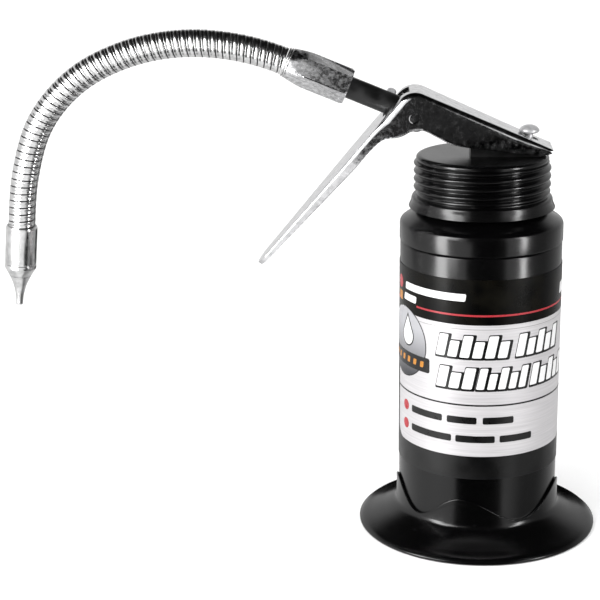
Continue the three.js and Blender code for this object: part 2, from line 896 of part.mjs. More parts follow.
// Slot in the plate for the plunger's rod, long enough for the plate to swing round it.
function rodSlot() {
  const centre = (pump_x - pivot.x) / Math.cos(lever_plate_slope);
  const along = centre - lever_plate_offset * Math.tan(lever_plate_slope);
  const front = along - rod_radius - slot_front_gap;
  const rear = along + rod_radius + slot_rear_gap;
  const above = lever_plate_offset + cut_margin;
  const below = lever_plate_offset - 2 * lever_sheet;
  const half = rod_radius + slot_side_gap;
  const outline = [
    leverPoint(plate_along, plate_out, front, above),
    leverPoint(plate_along, plate_out, rear, above),
    leverPoint(plate_along, plate_out, rear, below),
    leverPoint(plate_along, plate_out, front, below),
  ];
  return plate(outline, -half, half);
}

// What is cut off one corner of the trigger's tip to round it.
function tipCorner(side) {
  const r = trigger_corner;
  const depth = 2 * lever_sheet + 2 * cut_margin;
  const box = new THREE.BoxGeometry(2 * r, 2 * r, depth);
  box.translate(r, side * r, 0);
  const round = new THREE.CylinderGeometry(r, r, 2 * depth, round_sides);
  round.rotateX(Math.PI / 2);
  const cut = solid(box).subtract(solid(round));
  const geometry = geometryOf(cut);
  const along = trigger_reach - r + seat_fit;
  const centre = leverPoint(trigger_along, trigger_out, along, trigger_offset - lever_sheet / 2);
  geometry.rotateY(Math.PI - trigger_slope);
  geometry.translate(centre[0], side * (lever_width / 2 - r + seat_fit), centre[1]);
  return solid(geometry);
}

// Squeeze lever: one pressed channel whose web runs on down the front as the trigger.
// Its sides draw in towards the rear end.
function triggerLever() {
  const section = [...sheetPath(0), ...sheetPath(lever_sheet).reverse()];
  const web = plate(section, -lever_width / 2, lever_width / 2);
  let lever = web.add(leverCheek(-1)).add(leverCheek(1));
  lever = lever.subtract(tubeWindow()).subtract(rodSlot());
  const hole = stud_radius + running_fit;
  lever = lever.subtract(crossCylinder(hole, -lever_width, lever_width, pivot.x, pivot.z));
  lever = lever.subtract(tipCorner(-1)).subtract(tipCorner(1));
  const geometry = geometryOf(lever);
  const corners = geometry.attributes.position;
  const taper_start = pivot.x + lever_taper_start;
  const taper_end = leverPoint(plate_along, plate_out, lever_plate_reach, lever_plate_offset)[0];
  for (let i = 0; i < corners.count; i += 1) {
    const share = (corners.getX(i) - taper_start) / (taper_end - taper_start);
    const side = Math.sign(corners.getY(i));
    if (share > 0 && Math.abs(corners.getY(i)) > lever_width / 2 - 1.5 * lever_sheet) {
      const draw = (share * (lever_width - lever_rear_width)) / 2;
      corners.setY(i, corners.getY(i) - side * draw);
    }
  }
  return solid(geometry);
}

// ---- Nut, hose and nozzle ---------------------------------------------------------

// Hexagon nut whose front third is turned down to a rounded nose.
function hoseNut() {
  const corner_radius = nut_across_flats / 2 / Math.cos(30 * degrees);
  const hexagon = new THREE.CylinderGeometry(corner_radius, corner_radius, nut_length, 6);
  hexagon.translate(0, nut_length / 2, 0);
  hexagon.rotateY(30 * degrees + nut_turn);
  hexagon.applyMatrix4(alignment(alongSpout(nut_start), spout_direction));
  const widest = corner_radius + loose_fit;
  const profile = [
    [0, -cut_margin],
    [corner_radius - nut_chamfer, -cut_margin],
    [widest - 0.6 * nut_chamfer, 0],
    [widest, nut_chamfer],
    [widest, nut_hex_share * nut_length],
  ];
  const steps = 5;
  for (let i = 1; i <= steps; i += 1) {
    const share = i / steps;
    const drop = (widest - nut_nose_radius) * share ** 1.6;
    profile.push([widest - drop, (nut_hex_share + (1 - nut_hex_share) * share) * nut_length]);
  }
  profile.push([nut_nose_radius, nut_length + cut_margin]);
  profile.push([0, nut_length + cut_margin]);
  const envelope = turnedAlong(profile, alongSpout(nut_start), spout_direction, round_sides);
  const bore = turnedAlong(
    [
      [0, -2 * cut_margin],
      [tube_radius + press_fit, -2 * cut_margin],
      [tube_radius + press_fit, nut_grip + loose_fit],
      [tube_bore, nut_grip + loose_fit],
      [tube_bore, nut_length + 2 * cut_margin],
      [0, nut_length + 2 * cut_margin],
    ],
    alongSpout(nut_start),
    spout_direction,
  );
  return solid(hexagon).intersect(envelope).subtract(bore);
}

// Collar: two thin crimp rings between the nut and the hose.
function hoseCollar() {
  const start = press_fit;
  const end = collar_length - loose_fit;
  const middle = (start + end) / 2;
  const first = nut_nose_radius;
  const second = nut_nose_radius - loose_fit;
  const groove = hose_radius - loose_fit;
  return turnedAlong(
    [
      [tube_bore, start],
      [first, start],
      [first, middle - collar_groove],
      [groove, middle - collar_groove / 2],
      [groove, middle + collar_groove / 2],
      [second, middle + collar_groove],
      [second, end],
      [tube_bore, end],
    ],
    alongSpout(nut_start + nut_length),
    spout_direction,
  );
}

const hose_length = hose_bends.reduce((sum, bend) => sum + bend.length, 0);
const segment_length = hose_length / hose_segments;

// The hose's centre line: arcs that follow each other without a kink. Before its
// start and past its end it runs straight on.
class HoseLine extends THREE.Curve {
  constructor(from, to) {
    super();
    this.from = from;
    this.to = to;
  }

  getPoint(share, target = new THREE.Vector3()) {
    return target.copy(hosePlace(this.from + share * (this.to - this.from)).point);
  }
}

function hosePlace(distance) {
  const point = alongSpout(nut_start + nut_length + collar_length);
  let heading = spout_slope;
  let left = distance;
  const step = (length, turn) => {
    const half = turn / 2;
    const chord = half === 0 ? length : (length * Math.sin(half)) / half;
    point.x -= chord * Math.cos(heading - half);
    point.z += chord * Math.sin(heading - half);
    heading -= turn;
  };
  if (left < 0) {
    step(left, 0);
    left = 0;
  }
  for (const bend of hose_bends) {
    const length = Math.min(left, bend.length);
    if (length > 0) step(length, (bend.turn * length) / bend.length);
    left -= length;
  }
  if (left > 1e-9) step(left, 0);
  return { point, heading };
}

function hoseTube(from, to, radius, sides) {
  const section = new THREE.Shape();
  section.absarc(0, 0, radius, 0, 2 * Math.PI);
  return solid(
    new THREE.ExtrudeGeometry(section, {
      steps: Math.max(2, Math.round((to - from) / 4)),
      curveSegments: sides / 2,
      bevelEnabled: false,
      extrudePath: new HoseLine(from, to),
    }),
  );
}

function ballAt(distance, radius) {
  const ball = new THREE.SphereGeometry(radius, small_sides, 8);
  const { point } = hosePlace(distance);
  ball.translate(point.x, point.y, point.z);
  return solid(ball);
}

// One length of the strip-wound hose. Each length but the last ends in a ball that
// sits in the hollow start of the next, so the joints bend without a gap.
function hoseSegment(index) {
  const from = index * segment_length;
  const to = from + segment_length;
  const first = index === 0;
  const last = index === hose_segments - 1;
  const start = first ? from + loose_fit : from;
  const end = last ? to + ferrule_grip - hose_ball_gap : to - hose_joint_gap;
  let segment = hoseTube(start, end, hose_radius, small_sides);
  if (!first) segment = segment.subtract(ballAt(from, hose_radius + hose_ball_gap));
  if (!last) segment = segment.add(ballAt(to, hose_radius - seat_fit));
  const past = hose_radius + cut_margin;
  return segment.subtract(hoseTube(from - past, to + past, hose_bore, small_sides / 2));
}

const hose_end = hosePlace(hose_length);
const nozzle_direction = new THREE.Vector3(-Math.cos(hose_end.heading), 0, Math.sin(hose_end.heading));

// Crimped ferrule: a sleeve over the hose's end that cones down to the nozzle.
function ferrule() {
  const cone_start = ferrule_length - ferrule_cone;
  const groove = cone_start - ferrule_groove_rise;
  const socket = hose_radius + hose_ball_gap;
  const plug = ferrule_mouth - nozzle_plug_wall;
  return turnedAlong(
    [
      [socket, 0],
      [ferrule_radius - ferrule_chamfer, 0],
      [ferrule_radius, 2 * ferrule_chamfer],
      [ferrule_radius, groove - ferrule_groove_half],
      [ferrule_radius - ferrule_groove_depth, groove],
      [ferrule_radius, groove + ferrule_groove_half],
      [ferrule_radius, cone_start],
      [ferrule_mouth, ferrule_length],
      [plug, ferrule_length],
      [plug, ferrule_length - nozzle_plug_depth],
      [tube_bore, ferrule_length - nozzle_plug_depth],
      [tube_bore, ferrule_grip],
      [socket, ferrule_grip],
    ],
    hose_end.point,
    nozzle_direction,
    24,
  );
}

// Turned nozzle, hollow-tapered to its small end and plugged into the ferrule.
function nozzleTip() {
  const plug = ferrule_mouth - nozzle_plug_wall - press_fit;
  const shoulder = ferrule_length + press_fit;
  const plug_end = shoulder - nozzle_plug_depth + loose_fit;
  const profile = [
    [nozzle_bore, plug_end],
    [plug, plug_end],
    [plug, shoulder],
    [ferrule_mouth, shoulder],
  ];
  const steps = 5;
  for (let i = 1; i <= steps; i += 1) {
    const share = i / steps;
    const swell = (1 - share) ** 2.2;
    profile.push([
      nozzle_end_radius + (ferrule_mouth - nozzle_end_radius) * swell,
      shoulder + share * nozzle_length,
    ]);
  }
  profile.push([nozzle_bore, shoulder + nozzle_length]);
  return turnedAlong(profile, hose_end.point, nozzle_direction, 24);
}

// ---- Assembly ---------------------------------------------------------------------

const group = new THREE.Group();

const looks = {
  black_enamel: { color: 0x101012, roughness: 0.18, metalness: 0 },
  black_oxide: { color: 0x1b1b1d, roughness: 0.45, metalness: 0.3 },
  chrome: { color: 0xd8dade, roughness: 0.12, metalness: 1 },
  bright_steel: { color: 0xb9bbbe, roughness: 0.28, metalness: 1 },
  nut_steel: { color: 0x8b8d90, roughness: 0.4, metalness: 1 },
  brass: { color: 0xb08d4a, roughness: 0.35, metalness: 1 },
  rubber: { color: 0x242424, roughness: 0.8, metalness: 0 },
  nylon: { color: 0xe6e3d8, roughness: 0.5, metalness: 0 },
  label: { color: 0xb4b5b8, roughness: 0.35, metalness: 0.2 },
};

function place(name, manifold, look) {
  const mesh = new THREE.Mesh(geometryOf(manifold), new THREE.MeshStandardMaterial(looks[look]));
  mesh.name = name;
  group.add(mesh);
}

place("foot_flange", footFlange(), "black_enamel");
place("can_body", canBody(), "black_enamel");
place("body_label", bodyLabel(), "label");
place("can_shoulder", canShoulder(), "black_enamel");
place("cap_gasket", capGasket(), "rubber");
place("screw_cap", screwCap(), "black_enamel");
place("pump_head", pumpHead(), "black_oxide");
place("head_screw", headScrew(), "bright_steel");
place("pump_barrel", pumpBarrel(), "bright_steel");
place("rod_seal", rodSeal(), "rubber");
place("foot_valve", footValve(), "brass");
place("valve_flap", valveFlap(), "rubber");
place("suction_tube", suctionTube(), "nylon");
place("strainer", strainer(), "nylon");
place("plunger_rod", plungerRod(), "chrome");
place("piston", pistonRing(piston_bottom, piston_length, piston_radius), "brass");
place(
  "piston_cup",
  pistonRing(piston_bottom + piston_length + press_fit, cup_length, barrel_bore - press_fit),
  "rubber",
);
place("return_spring", returnSpring(), "bright_steel");
place("spout_tube", spoutTube(), "black_oxide");
place("pivot_yoke", pivotYoke(), "black_oxide");
place("pivot_stud_near", pivotStud(-1), "bright_steel");
place("pivot_stud_far", pivotStud(1), "bright_steel");
place("trigger_lever", triggerLever(), "chrome");
place("hose_nut", hoseNut(), "nut_steel");
place("hose_collar", hoseCollar(), "bright_steel");
for (let i = 0; i < hose_segments; i += 1) {
  place(`hose_segment_${i + 1}`, hoseSegment(i), "bright_steel");
}
place("ferrule", ferrule(), "bright_steel");
place("nozzle_tip", nozzleTip(), "bright_steel");

export default group;
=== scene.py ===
"""Looks of a pistol-grip oiler: black enamelled can on a flared foot, threaded cap with a
chromed squeeze lever, and a strip-wound steel spout. Smooth pieces in the CAD's frame,
in metres. Sizes are written in millimetres and turned into metres by MM."""

import bisect
import json
import math

import bmesh
import bpy
from mathutils import Matrix, Vector


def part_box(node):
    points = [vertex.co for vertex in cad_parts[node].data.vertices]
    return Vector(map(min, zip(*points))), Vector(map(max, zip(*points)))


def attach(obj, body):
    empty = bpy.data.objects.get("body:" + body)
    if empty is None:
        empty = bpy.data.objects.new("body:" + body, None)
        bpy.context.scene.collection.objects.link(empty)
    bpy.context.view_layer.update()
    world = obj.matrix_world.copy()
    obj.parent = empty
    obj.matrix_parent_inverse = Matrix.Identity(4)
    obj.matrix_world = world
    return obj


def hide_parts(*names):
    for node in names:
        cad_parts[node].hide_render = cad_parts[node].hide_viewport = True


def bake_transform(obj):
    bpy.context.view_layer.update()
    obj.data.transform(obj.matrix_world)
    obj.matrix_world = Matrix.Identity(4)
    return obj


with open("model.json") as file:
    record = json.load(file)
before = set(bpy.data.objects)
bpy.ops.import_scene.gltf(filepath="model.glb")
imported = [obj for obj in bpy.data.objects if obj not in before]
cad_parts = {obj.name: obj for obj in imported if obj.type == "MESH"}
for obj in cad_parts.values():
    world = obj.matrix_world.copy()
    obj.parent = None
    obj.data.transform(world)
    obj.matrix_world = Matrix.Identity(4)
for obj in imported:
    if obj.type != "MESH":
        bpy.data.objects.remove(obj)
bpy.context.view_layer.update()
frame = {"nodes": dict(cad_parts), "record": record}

MM = 0.001
JOINTS = {joint["name"]: joint for joint in frame["record"]["behaviour"]["joints"]}

# ---- Sizes, in metres -------------------------------------------------------------

CAN_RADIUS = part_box("can_body")[1].x
CAN_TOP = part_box("can_body")[1].z
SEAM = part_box("can_shoulder")[0].z
SKIRT_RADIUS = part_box("can_shoulder")[1].x
NECK_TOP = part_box("can_shoulder")[1].z
FOOT_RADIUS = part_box("foot_flange")[1].x
LABEL_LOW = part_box("body_label")[0].z
LABEL_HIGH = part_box("body_label")[1].z
LABEL_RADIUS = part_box("body_label")[1].x
CAP_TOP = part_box("screw_cap")[1].z
LIP_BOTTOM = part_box("screw_cap")[0].z
LIP_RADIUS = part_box("screw_cap")[1].x
PUMP_X = (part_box("pump_barrel")[0].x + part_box("pump_barrel")[1].x) / 2
ROD_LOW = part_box("plunger_rod")[0].z
ROD_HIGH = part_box("plunger_rod")[1].z
DOME_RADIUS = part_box("plunger_rod")[1].y
PIVOT = Vector(JOINTS["lever_squeeze"]["pos_m"])

NECK_RADIUS = 20 * MM
THREAD_PITCH = 2.6 * MM
THREAD_TURNS = 4
THREAD_ROOT = 20.8 * MM
SPOUT_SLOPE = math.radians(22.3)
NOZZLE_SLOPE = math.radians(85)
TUBE_RADIUS = 3.5 * MM
HOSE_RADIUS = 4.4 * MM
HOSE_PITCH = 2.3 * MM
FERRULE_RADIUS = 5.15 * MM
OIL_BORE = 1.6 * MM
STUD_RADIUS = 1.5 * MM
SHEET = 1.3 * MM
CAN_WALL = 0.6 * MM
BADGE_FOOT = 54.5 * MM
BADGE_CROWN = 77 * MM

SPOUT_DIRECTION = Vector((-math.cos(SPOUT_SLOPE), 0, math.sin(SPOUT_SLOPE)))
NOZZLE_DIRECTION = Vector((-math.cos(NOZZLE_SLOPE), 0, -math.sin(NOZZLE_SLOPE)))


# ---- Materials --------------------------------------------------------------------


def grey(level):
    return (level, level, level)


class Look:
    """A Principled material whose nodes are added one by one."""

    def __init__(self, name, color, roughness, metallic=0.0, **sockets):
        self.material = bpy.data.materials.new(name)
        self.material.use_nodes = True
        self.nodes = self.material.node_tree.nodes
        self.links = self.material.node_tree.links
        self.shader = self.nodes["Principled BSDF"]
        self.set("Base Color", (*color, 1.0))
        self.set("Roughness", roughness)
        self.set("Metallic", metallic)
        for socket, value in sockets.items():
            self.set(socket.replace("_", " "), value)
        self.place = self.nodes.new("ShaderNodeTexCoord").outputs["Object"]

    def set(self, socket, value):
        self.shader.inputs[socket].default_value = value

    def noise(self, scale, detail=4.0, stretch=(1, 1, 1), distortion=0.0):
        mapping = self.nodes.new("ShaderNodeMapping")
        mapping.inputs["Scale"].default_value = stretch
        texture = self.nodes.new("ShaderNodeTexNoise")
        texture.inputs["Scale"].default_value = scale
        texture.inputs["Detail"].default_value = detail
        texture.inputs["Distortion"].default_value = distortion
        self.links.new(self.place, mapping.inputs["Vector"])
        self.links.new(mapping.outputs["Vector"], texture.inputs["Vector"])
        return texture.outputs["Fac"]

    def vary_roughness(self, source, low, high, start=0.35, end=0.65):
        spread = self.nodes.new("ShaderNodeMapRange")
        spread.inputs["From Min"].default_value = start
        spread.inputs["From Max"].default_value = end
        spread.inputs["To Min"].default_value = low
        spread.inputs["To Max"].default_value = high
        self.links.new(source, spread.inputs["Value"])
        self.links.new(spread.outputs["Result"], self.shader.inputs["Roughness"])

    def vary_color(self, source, dark, light, start=0.35, end=0.65):
        ramp = self.nodes.new("ShaderNodeValToRGB")
        ramp.color_ramp.elements[0].position = start
        ramp.color_ramp.elements[1].position = end
        ramp.color_ramp.elements[0].color = (*dark, 1.0)
        ramp.color_ramp.elements[1].color = (*light, 1.0)
        self.links.new(source, ramp.inputs["Fac"])
        self.links.new(ramp.outputs["Color"], self.shader.inputs["Base Color"])

    def bump(self, source, height, strength=1.0):
        bump = self.nodes.new("ShaderNodeBump")
        bump.inputs["Strength"].default_value = strength
        bump.inputs["Distance"].default_value = height
        if self.shader.inputs["Normal"].is_linked:
            earlier = self.shader.inputs["Normal"].links[0].from_socket
            self.links.new(earlier, bump.inputs["Normal"])
        self.links.new(source, bump.inputs["Height"])
        self.links.new(bump.outputs["Normal"], self.shader.inputs["Normal"])


def enamel():
    """Baked gloss black: faint orange peel, handling marks and a few dust specks."""
    look = Look("black_enamel", grey(0.001), 0.2)
    look.vary_roughness(look.noise(90, 5), 0.17, 0.24)
    look.vary_color(look.noise(900, 2), (0.0008, 0.0008, 0.0009), (0.02, 0.02, 0.022), 0.7, 0.92)
    look.bump(look.noise(700, 2), 0.02 * MM, 0.25)
    return look.material


def label_black():
    look = Look("label_black", grey(0.001), 0.3, Specular_IOR_Level=0.14)
    look.vary_roughness(look.noise(120, 4), 0.26, 0.36)
    look.vary_color(look.noise(160, 5), grey(0.0008), (0.004, 0.0035, 0.002))
    look.bump(look.noise(240, 2), 0.03 * MM, 0.2)
    return look.material


def label_base():
    """The film's dark grey border below the panel, with a fine printed grain."""
    look = Look("label_dark", grey(0.002), 0.3)
    look.vary_color(look.noise(2600, 3), grey(0.0008), (0.003, 0.003, 0.0032))
    look.vary_roughness(look.noise(150, 3), 0.3, 0.42)
    look.bump(look.noise(1500, 2), 0.01 * MM, 0.3)
    return look.material


def label_silver():
    """Silver ink brushed round the can."""
    look = Look("label_silver", (0.62, 0.61, 0.62), 0.38, 0.25)
    streaks = look.noise(60, 6, (1, 1, 60))
    look.vary_color(streaks, (0.5, 0.49, 0.5), (0.62, 0.605, 0.615), 0.3, 0.7)
    look.vary_roughness(streaks, 0.32, 0.46)
    look.bump(streaks, 0.01 * MM, 0.3)
    return look.material


def ink(name, color, wear=0.12):
    """Printed ink that is slightly uneven."""
    look = Look(name, color, 0.32)
    worn = tuple(min(1.0, channel * (1 - wear) + 0.02 * wear) for channel in color)
    look.vary_color(look.noise(1400, 3), worn, color)
    look.vary_roughness(look.noise(300, 3), 0.26, 0.4)
    look.bump(look.noise(2200, 2), 0.005 * MM, 0.3)
    return look.material


def badge_silver():
    """Ball-like shading of the printed badge: light above, dark at its foot."""
    look = Look("badge_silver", grey(0.5), 0.35, 0.1)
    height = look.nodes.new("ShaderNodeSeparateXYZ")
    look.links.new(look.place, height.inputs["Vector"])
    low = look.nodes.new("ShaderNodeMapRange")
    low.inputs["From Min"].default_value = BADGE_FOOT
    low.inputs["From Max"].default_value = BADGE_CROWN
    look.links.new(height.outputs["Z"], low.inputs["Value"])
    look.vary_color(low.outputs["Result"], (0.03, 0.03, 0.035), (0.42, 0.42, 0.44), 0.05, 0.75)
    look.bump(look.noise(1800, 2), 0.005 * MM, 0.3)
    return look.material


def chrome():
    """Chrome over pressed sheet: wavy reflections, dull patches and fine rubbing marks."""
    look = Look("chrome", (0.78, 0.78, 0.79), 0.12, 1.0)
    patches = look.noise(700, 7, distortion=0.4)
    stains = look.noise(420, 8, distortion=0.6)
    look.vary_color(stains, (0.64, 0.64, 0.65), (0.84, 0.84, 0.85), 0.34, 0.6)
    look.vary_roughness(patches, 0.09, 0.24, 0.4, 0.72)
    look.bump(look.noise(110, 3), 0.25 * MM, 0.3)
    look.bump(look.noise(1700, 3), 0.01 * MM, 0.35)
    return look.material


def oxide():
    """Semi-matte black oxide on drawn tube and cut steel."""
    look = Look("black_oxide", grey(0.01), 0.38)
    stains = look.noise(180, 6, distortion=0.5)
    look.vary_color(stains, grey(0.002), (0.01, 0.01, 0.0105), 0.4, 0.75)
    look.vary_roughness(look.noise(220, 5), 0.3, 0.5)
    look.bump(look.noise(900, 4), 0.02 * MM, 0.35)
    return look.material


def nut_steel():
    """Plated hexagon bar with pits, scale and streaks along its length."""
    look = Look("nut_steel", grey(0.5), 0.3, 1.0)
    streaks = look.noise(900, 9, (0.6, 1.6, 1.8), 0.6)
    look.vary_color(streaks, (0.42, 0.42, 0.425), (0.78, 0.78, 0.79), 0.36, 0.66)
    look.vary_roughness(look.noise(900, 7), 0.16, 0.36)
    look.bump(look.noise(1500, 7, (0.6, 1.6, 1.8), 0.4), 0.03 * MM, 0.8)
    return look.material


def bright_steel(name="bright_steel", tone=0.72):
    look = Look(name, (tone, tone, tone * 1.01), 0.2, 1.0)
    look.vary_color(look.noise(400, 6), grey(0.86 * tone), grey(1.1 * tone), 0.35, 0.6)
    look.vary_roughness(look.noise(500, 5), 0.18, 0.26)
    look.bump(look.noise(2200, 3), 0.003 * MM, 0.3)
    return look.material


def plain(name, color, roughness, metallic=0.0, grain=600):
    """Moulded or cast stuff of the hidden pieces."""
    look = Look(name, color, roughness, metallic)
    darker = tuple(0.75 * channel for channel in color)
    look.vary_color(look.noise(grain, 5), darker, color)
    look.vary_roughness(look.noise(grain / 2, 4), 0.85 * roughness, min(1.0, 1.2 * roughness))
    look.bump(look.noise(2 * grain, 3), 0.02 * MM, 0.4)
    return look.material


ENAMEL = enamel()
LABEL_BLACK = label_black()
LABEL_BASE = label_base()
LABEL_SILVER = label_silver()
BADGE_SILVER = badge_silver()
INK_BLACK = ink("ink_black", grey(0.003))
INK_WHITE = ink("ink_white", grey(0.8), 0.04)
INK_RED = ink("ink_red", (0.4, 0.02, 0.03))
INK_AMBER = ink("ink_amber", (0.5, 0.2, 0.02))
INK_GREY = ink("ink_grey", grey(0.28))
CHROME = chrome()
OXIDE = oxide()
NUT_STEEL = nut_steel()
STEEL = bright_steel()
HOSE_STEEL = bright_steel("hose_steel", 0.74)
SATIN = plain("satin_chrome", (0.62, 0.62, 0.63), 0.36, 0.6)
HOSE_GROOVE = plain("hose_groove", (0.06, 0.06, 0.062), 0.45, 0.8)
BRASS = plain("brass", (0.52, 0.36, 0.13), 0.3, 1.0)
NYLON = plain("nylon", (0.78, 0.75, 0.66), 0.45)
RUBBER = plain("rubber", grey(0.02), 0.75)


# ---- Mesh tools -------------------------------------------------------------------


def even(start, end, steps):
    """Values from start to end in equal steps, both ends included."""
    return [start + (end - start) * k / steps for k in range(steps + 1)]


def arc_points(centre, radius, start, end, steps=8, height=None):
    """Points of an arc between two angles in degrees. With a height it is part of an
    ellipse that is that high above its centre."""
    height = height or radius
    angles = [math.radians(degrees) for degrees in even(start, end, steps)]
    return [(centre[0] + radius * math.cos(a), centre[1] + height * math.sin(a)) for a in angles]


def add_object(name, data):
    added = bpy.data.objects.new(name, data)
    bpy.context.scene.collection.objects.link(added)
    return added


def make_piece(name, verts, faces, materials, sharp=35):
    """A closed, smooth-shaded mesh object. Faces carry a material index as a fourth item
    of (corners, index) pairs, or are plain corner lists of the first material."""
    corners = [face[0] if isinstance(face[0], (list, tuple)) else face for face in faces]
    indices = [face[1] if isinstance(face[0], (list, tuple)) else 0 for face in faces]
    mesh = bpy.data.meshes.new(name)
    mesh.from_pydata([tuple(v) for v in verts], [], corners)
    for material in materials:
        mesh.materials.append(material)
    mesh.polygons.foreach_set("material_index", indices)
    work = bmesh.new()
    work.from_mesh(mesh)
    bmesh.ops.remove_doubles(work, verts=work.verts, dist=0.5e-6)
    bmesh.ops.recalc_face_normals(work, faces=work.faces)
    work.to_mesh(mesh)
    work.free()
    mesh.shade_smooth()
    mesh.set_sharp_from_angle(angle=math.radians(sharp))
    return add_object(name, mesh)


def grid_faces(rows, columns, wrap_rows=False, wrap_columns=True, first=0, index=None):
    """Quads of a rows x columns grid of points, numbered row by row."""
    faces = []
    for i in range(rows if wrap_rows else rows - 1):
        for j in range(columns if wrap_columns else columns - 1):
            a = i * columns + j
            b = i * columns + (j + 1) % columns
            c = (i + 1) % rows * columns + (j + 1) % columns
            d = (i + 1) % rows * columns + j
            mark = index(i, j) if index else 0
            faces.append(([first + a, first + b, first + c, first + d], mark))
    return faces


def turned(name, profile, materials, sides=192, place=None, sharp=35, shape=None, index=None):
    """A turned piece: a closed outline of (radius, height) points swung about the axis.
    shape(radius, height, angle) may move a point; place is the axis' matrix."""
    place = place or Matrix.Identity(4)
    verts = []
    for radius, height in profile:
        for j in range(sides):
            angle = 2 * math.pi * j / sides
            r, h = shape(radius, height, angle) if shape else (radius, height)
            verts.append(place @ Vector((r * math.cos(angle), r * math.sin(angle), h)))
    on_axis = profile[0][0] < 1e-9
    faces = grid_faces(len(profile), sides, wrap_rows=not on_axis, index=index)
    return make_piece(name, verts, faces, materials, sharp)


def axis_place(point, direction):
    """Matrix whose Z axis lies along the direction, through the point."""
    return Matrix.Translation(point) @ direction.to_track_quat("Z", "Y").to_matrix().to_4x4()


def rounded(points, radius, steps=4):
    """The outline with each inner corner rounded off by the radius."""
    result = []
    for i, point in enumerate(points):
        here = Vector(point)
        before = Vector(points[i - 1])
        after = Vector(points[(i + 1) % len(points)])
        on_axis = here.x < 1e-9
        reach = min(radius, 0.45 * (here - before).length, 0.45 * (after - here).length)
        if on_axis or reach < 1e-7:
            result.append(tuple(here))
            continue
        start = here + (before - here).normalized() * reach
        end = here + (after - here).normalized() * reach
        for k in range(steps + 1):
            t = k / steps
            spot = start * (1 - t) ** 2 + here * 2 * t * (1 - t) + end * t**2
            result.append(tuple(spot))
    return result


def smooth_curve(points, steps=6):
    """Points of a smooth curve through the given ones."""
    spots = [Vector(point) for point in points]
    result = []
    for i in range(len(spots) - 1):
        a = spots[max(i - 1, 0)]
        b = spots[i]
        c = spots[i + 1]
        d = spots[min(i + 2, len(spots) - 1)]
        for k in range(steps):
            t = k / steps
            spot = 0.5 * (
                2 * b + (c - a) * t + (2 * a - 5 * b + 4 * c - d) * t**2 + (3 * b - a - 3 * c + d) * t**3
            )
            result.append(tuple(spot))
    result.append(tuple(spots[-1]))
    return result


def bevelled(piece, width, segments, angle):
    modifier = piece.modifiers.new("bevel", "BEVEL")
    modifier.width = width
    modifier.segments = segments
    modifier.limit_method = "ANGLE"
    modifier.angle_limit = math.radians(angle)
    modifier.harden_normals = True


def applied(piece, sharp=30):
    """Applies the piece's modifiers to its mesh."""
    depsgraph = bpy.context.evaluated_depsgraph_get()
    mesh = bpy.data.meshes.new_from_object(piece.evaluated_get(depsgraph))
    piece.modifiers.clear()
    piece.data = mesh
    mesh.shade_smooth()
    mesh.set_sharp_from_angle(angle=math.radians(sharp))


def cut(piece, tool, operation="DIFFERENCE"):
    """Cuts the piece with a tool, which is thrown away afterwards."""
    modifier = piece.modifiers.new("cut", "BOOLEAN")
    modifier.operation = operation
    modifier.solver = "EXACT"
    modifier.object = tool
    bpy.context.view_layer.update()
    applied(piece)
    bpy.data.objects.remove(tool)


def drill(piece, radius, half, place, sides):
    """Bores a hole along the place's axis, from half before the place to half past it."""
    profile = [(0, -half), (radius, -half), (radius, half), (0, half)]
    cut(piece, turned("drill", profile, piece.data.materials[:], sides, place))


def finish_piece(piece, body, slot, *nodes):
    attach(piece, body)
    if nodes:
        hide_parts(*nodes)


# ---- Foot and can -----------------------------------------------------------------

SLEEVE_CRESTS = [math.radians(angle) for angle in (-172, -104.5, -15, 52.7, 120.3)]
SLEEVE_MID = 13 * MM
SLEEVE_WAVE = 4 * MM
FOOT_ROOT = 8.4 * MM


def sleeve_edge(angle):
    """Height of the sleeve's wavy edge: a cosine from each crest to the next."""
    turn = 2 * math.pi
    crests = [*SLEEVE_CRESTS, SLEEVE_CRESTS[0] + turn]
    spot = crests[0] + (angle - crests[0]) % turn
    for start, end in zip(crests, crests[1:]):
        if start <= spot <= end:
            return SLEEVE_MID + SLEEVE_WAVE * math.cos(turn * (spot - start) / (end - start))
    return SLEEVE_MID


def foot_skin():
    """Spun foot: a flare with a rolled rim, and a wavy-edged sleeve round the can."""
    inner = CAN_RADIUS + 0.1 * MM
    outer = inner + 0.7 * MM
    edge = FOOT_RADIUS
    top = smooth_curve(
        [
            (edge - 0.1 * MM, 0.9 * MM),
            (edge - 1.3 * MM, 1.9 * MM),
            (edge - 4.5 * MM, 3.1 * MM),
            (edge - 8 * MM, 4.7 * MM),
            (outer + 1.5 * MM, FOOT_ROOT - 1.9 * MM),
            (outer + 0.4 * MM, FOOT_ROOT - 0.9 * MM),
            (outer, FOOT_ROOT),
        ]
    )
    rim = rounded([(edge - 1.4 * MM, 0), (edge, 0), (edge, 1.2 * MM)], 0.6 * MM)[:-1]
    under = [
        (inner, FOOT_ROOT - 1.6 * MM),
        (outer + 1.4 * MM, FOOT_ROOT - 2.6 * MM),
        (edge - 3 * MM, 1.3 * MM),
    ]
    lip = rounded([(outer, SLEEVE_MID - MM), (outer, SLEEVE_MID), (inner, SLEEVE_MID)], 0.22 * MM)
    profile = [*under, *rim, *top, *lip[1:]]

    def wave(radius, height, angle):
        if height > FOOT_ROOT:
            share = (height - FOOT_ROOT) / (SLEEVE_MID - FOOT_ROOT)
            height += share * (sleeve_edge(angle) - SLEEVE_MID)
        return radius, height

    piece = turned("foot_skin", profile, [ENAMEL], sides=288, shape=wave)
    finish_piece(piece, "can", "black_enamel", "foot_flange")


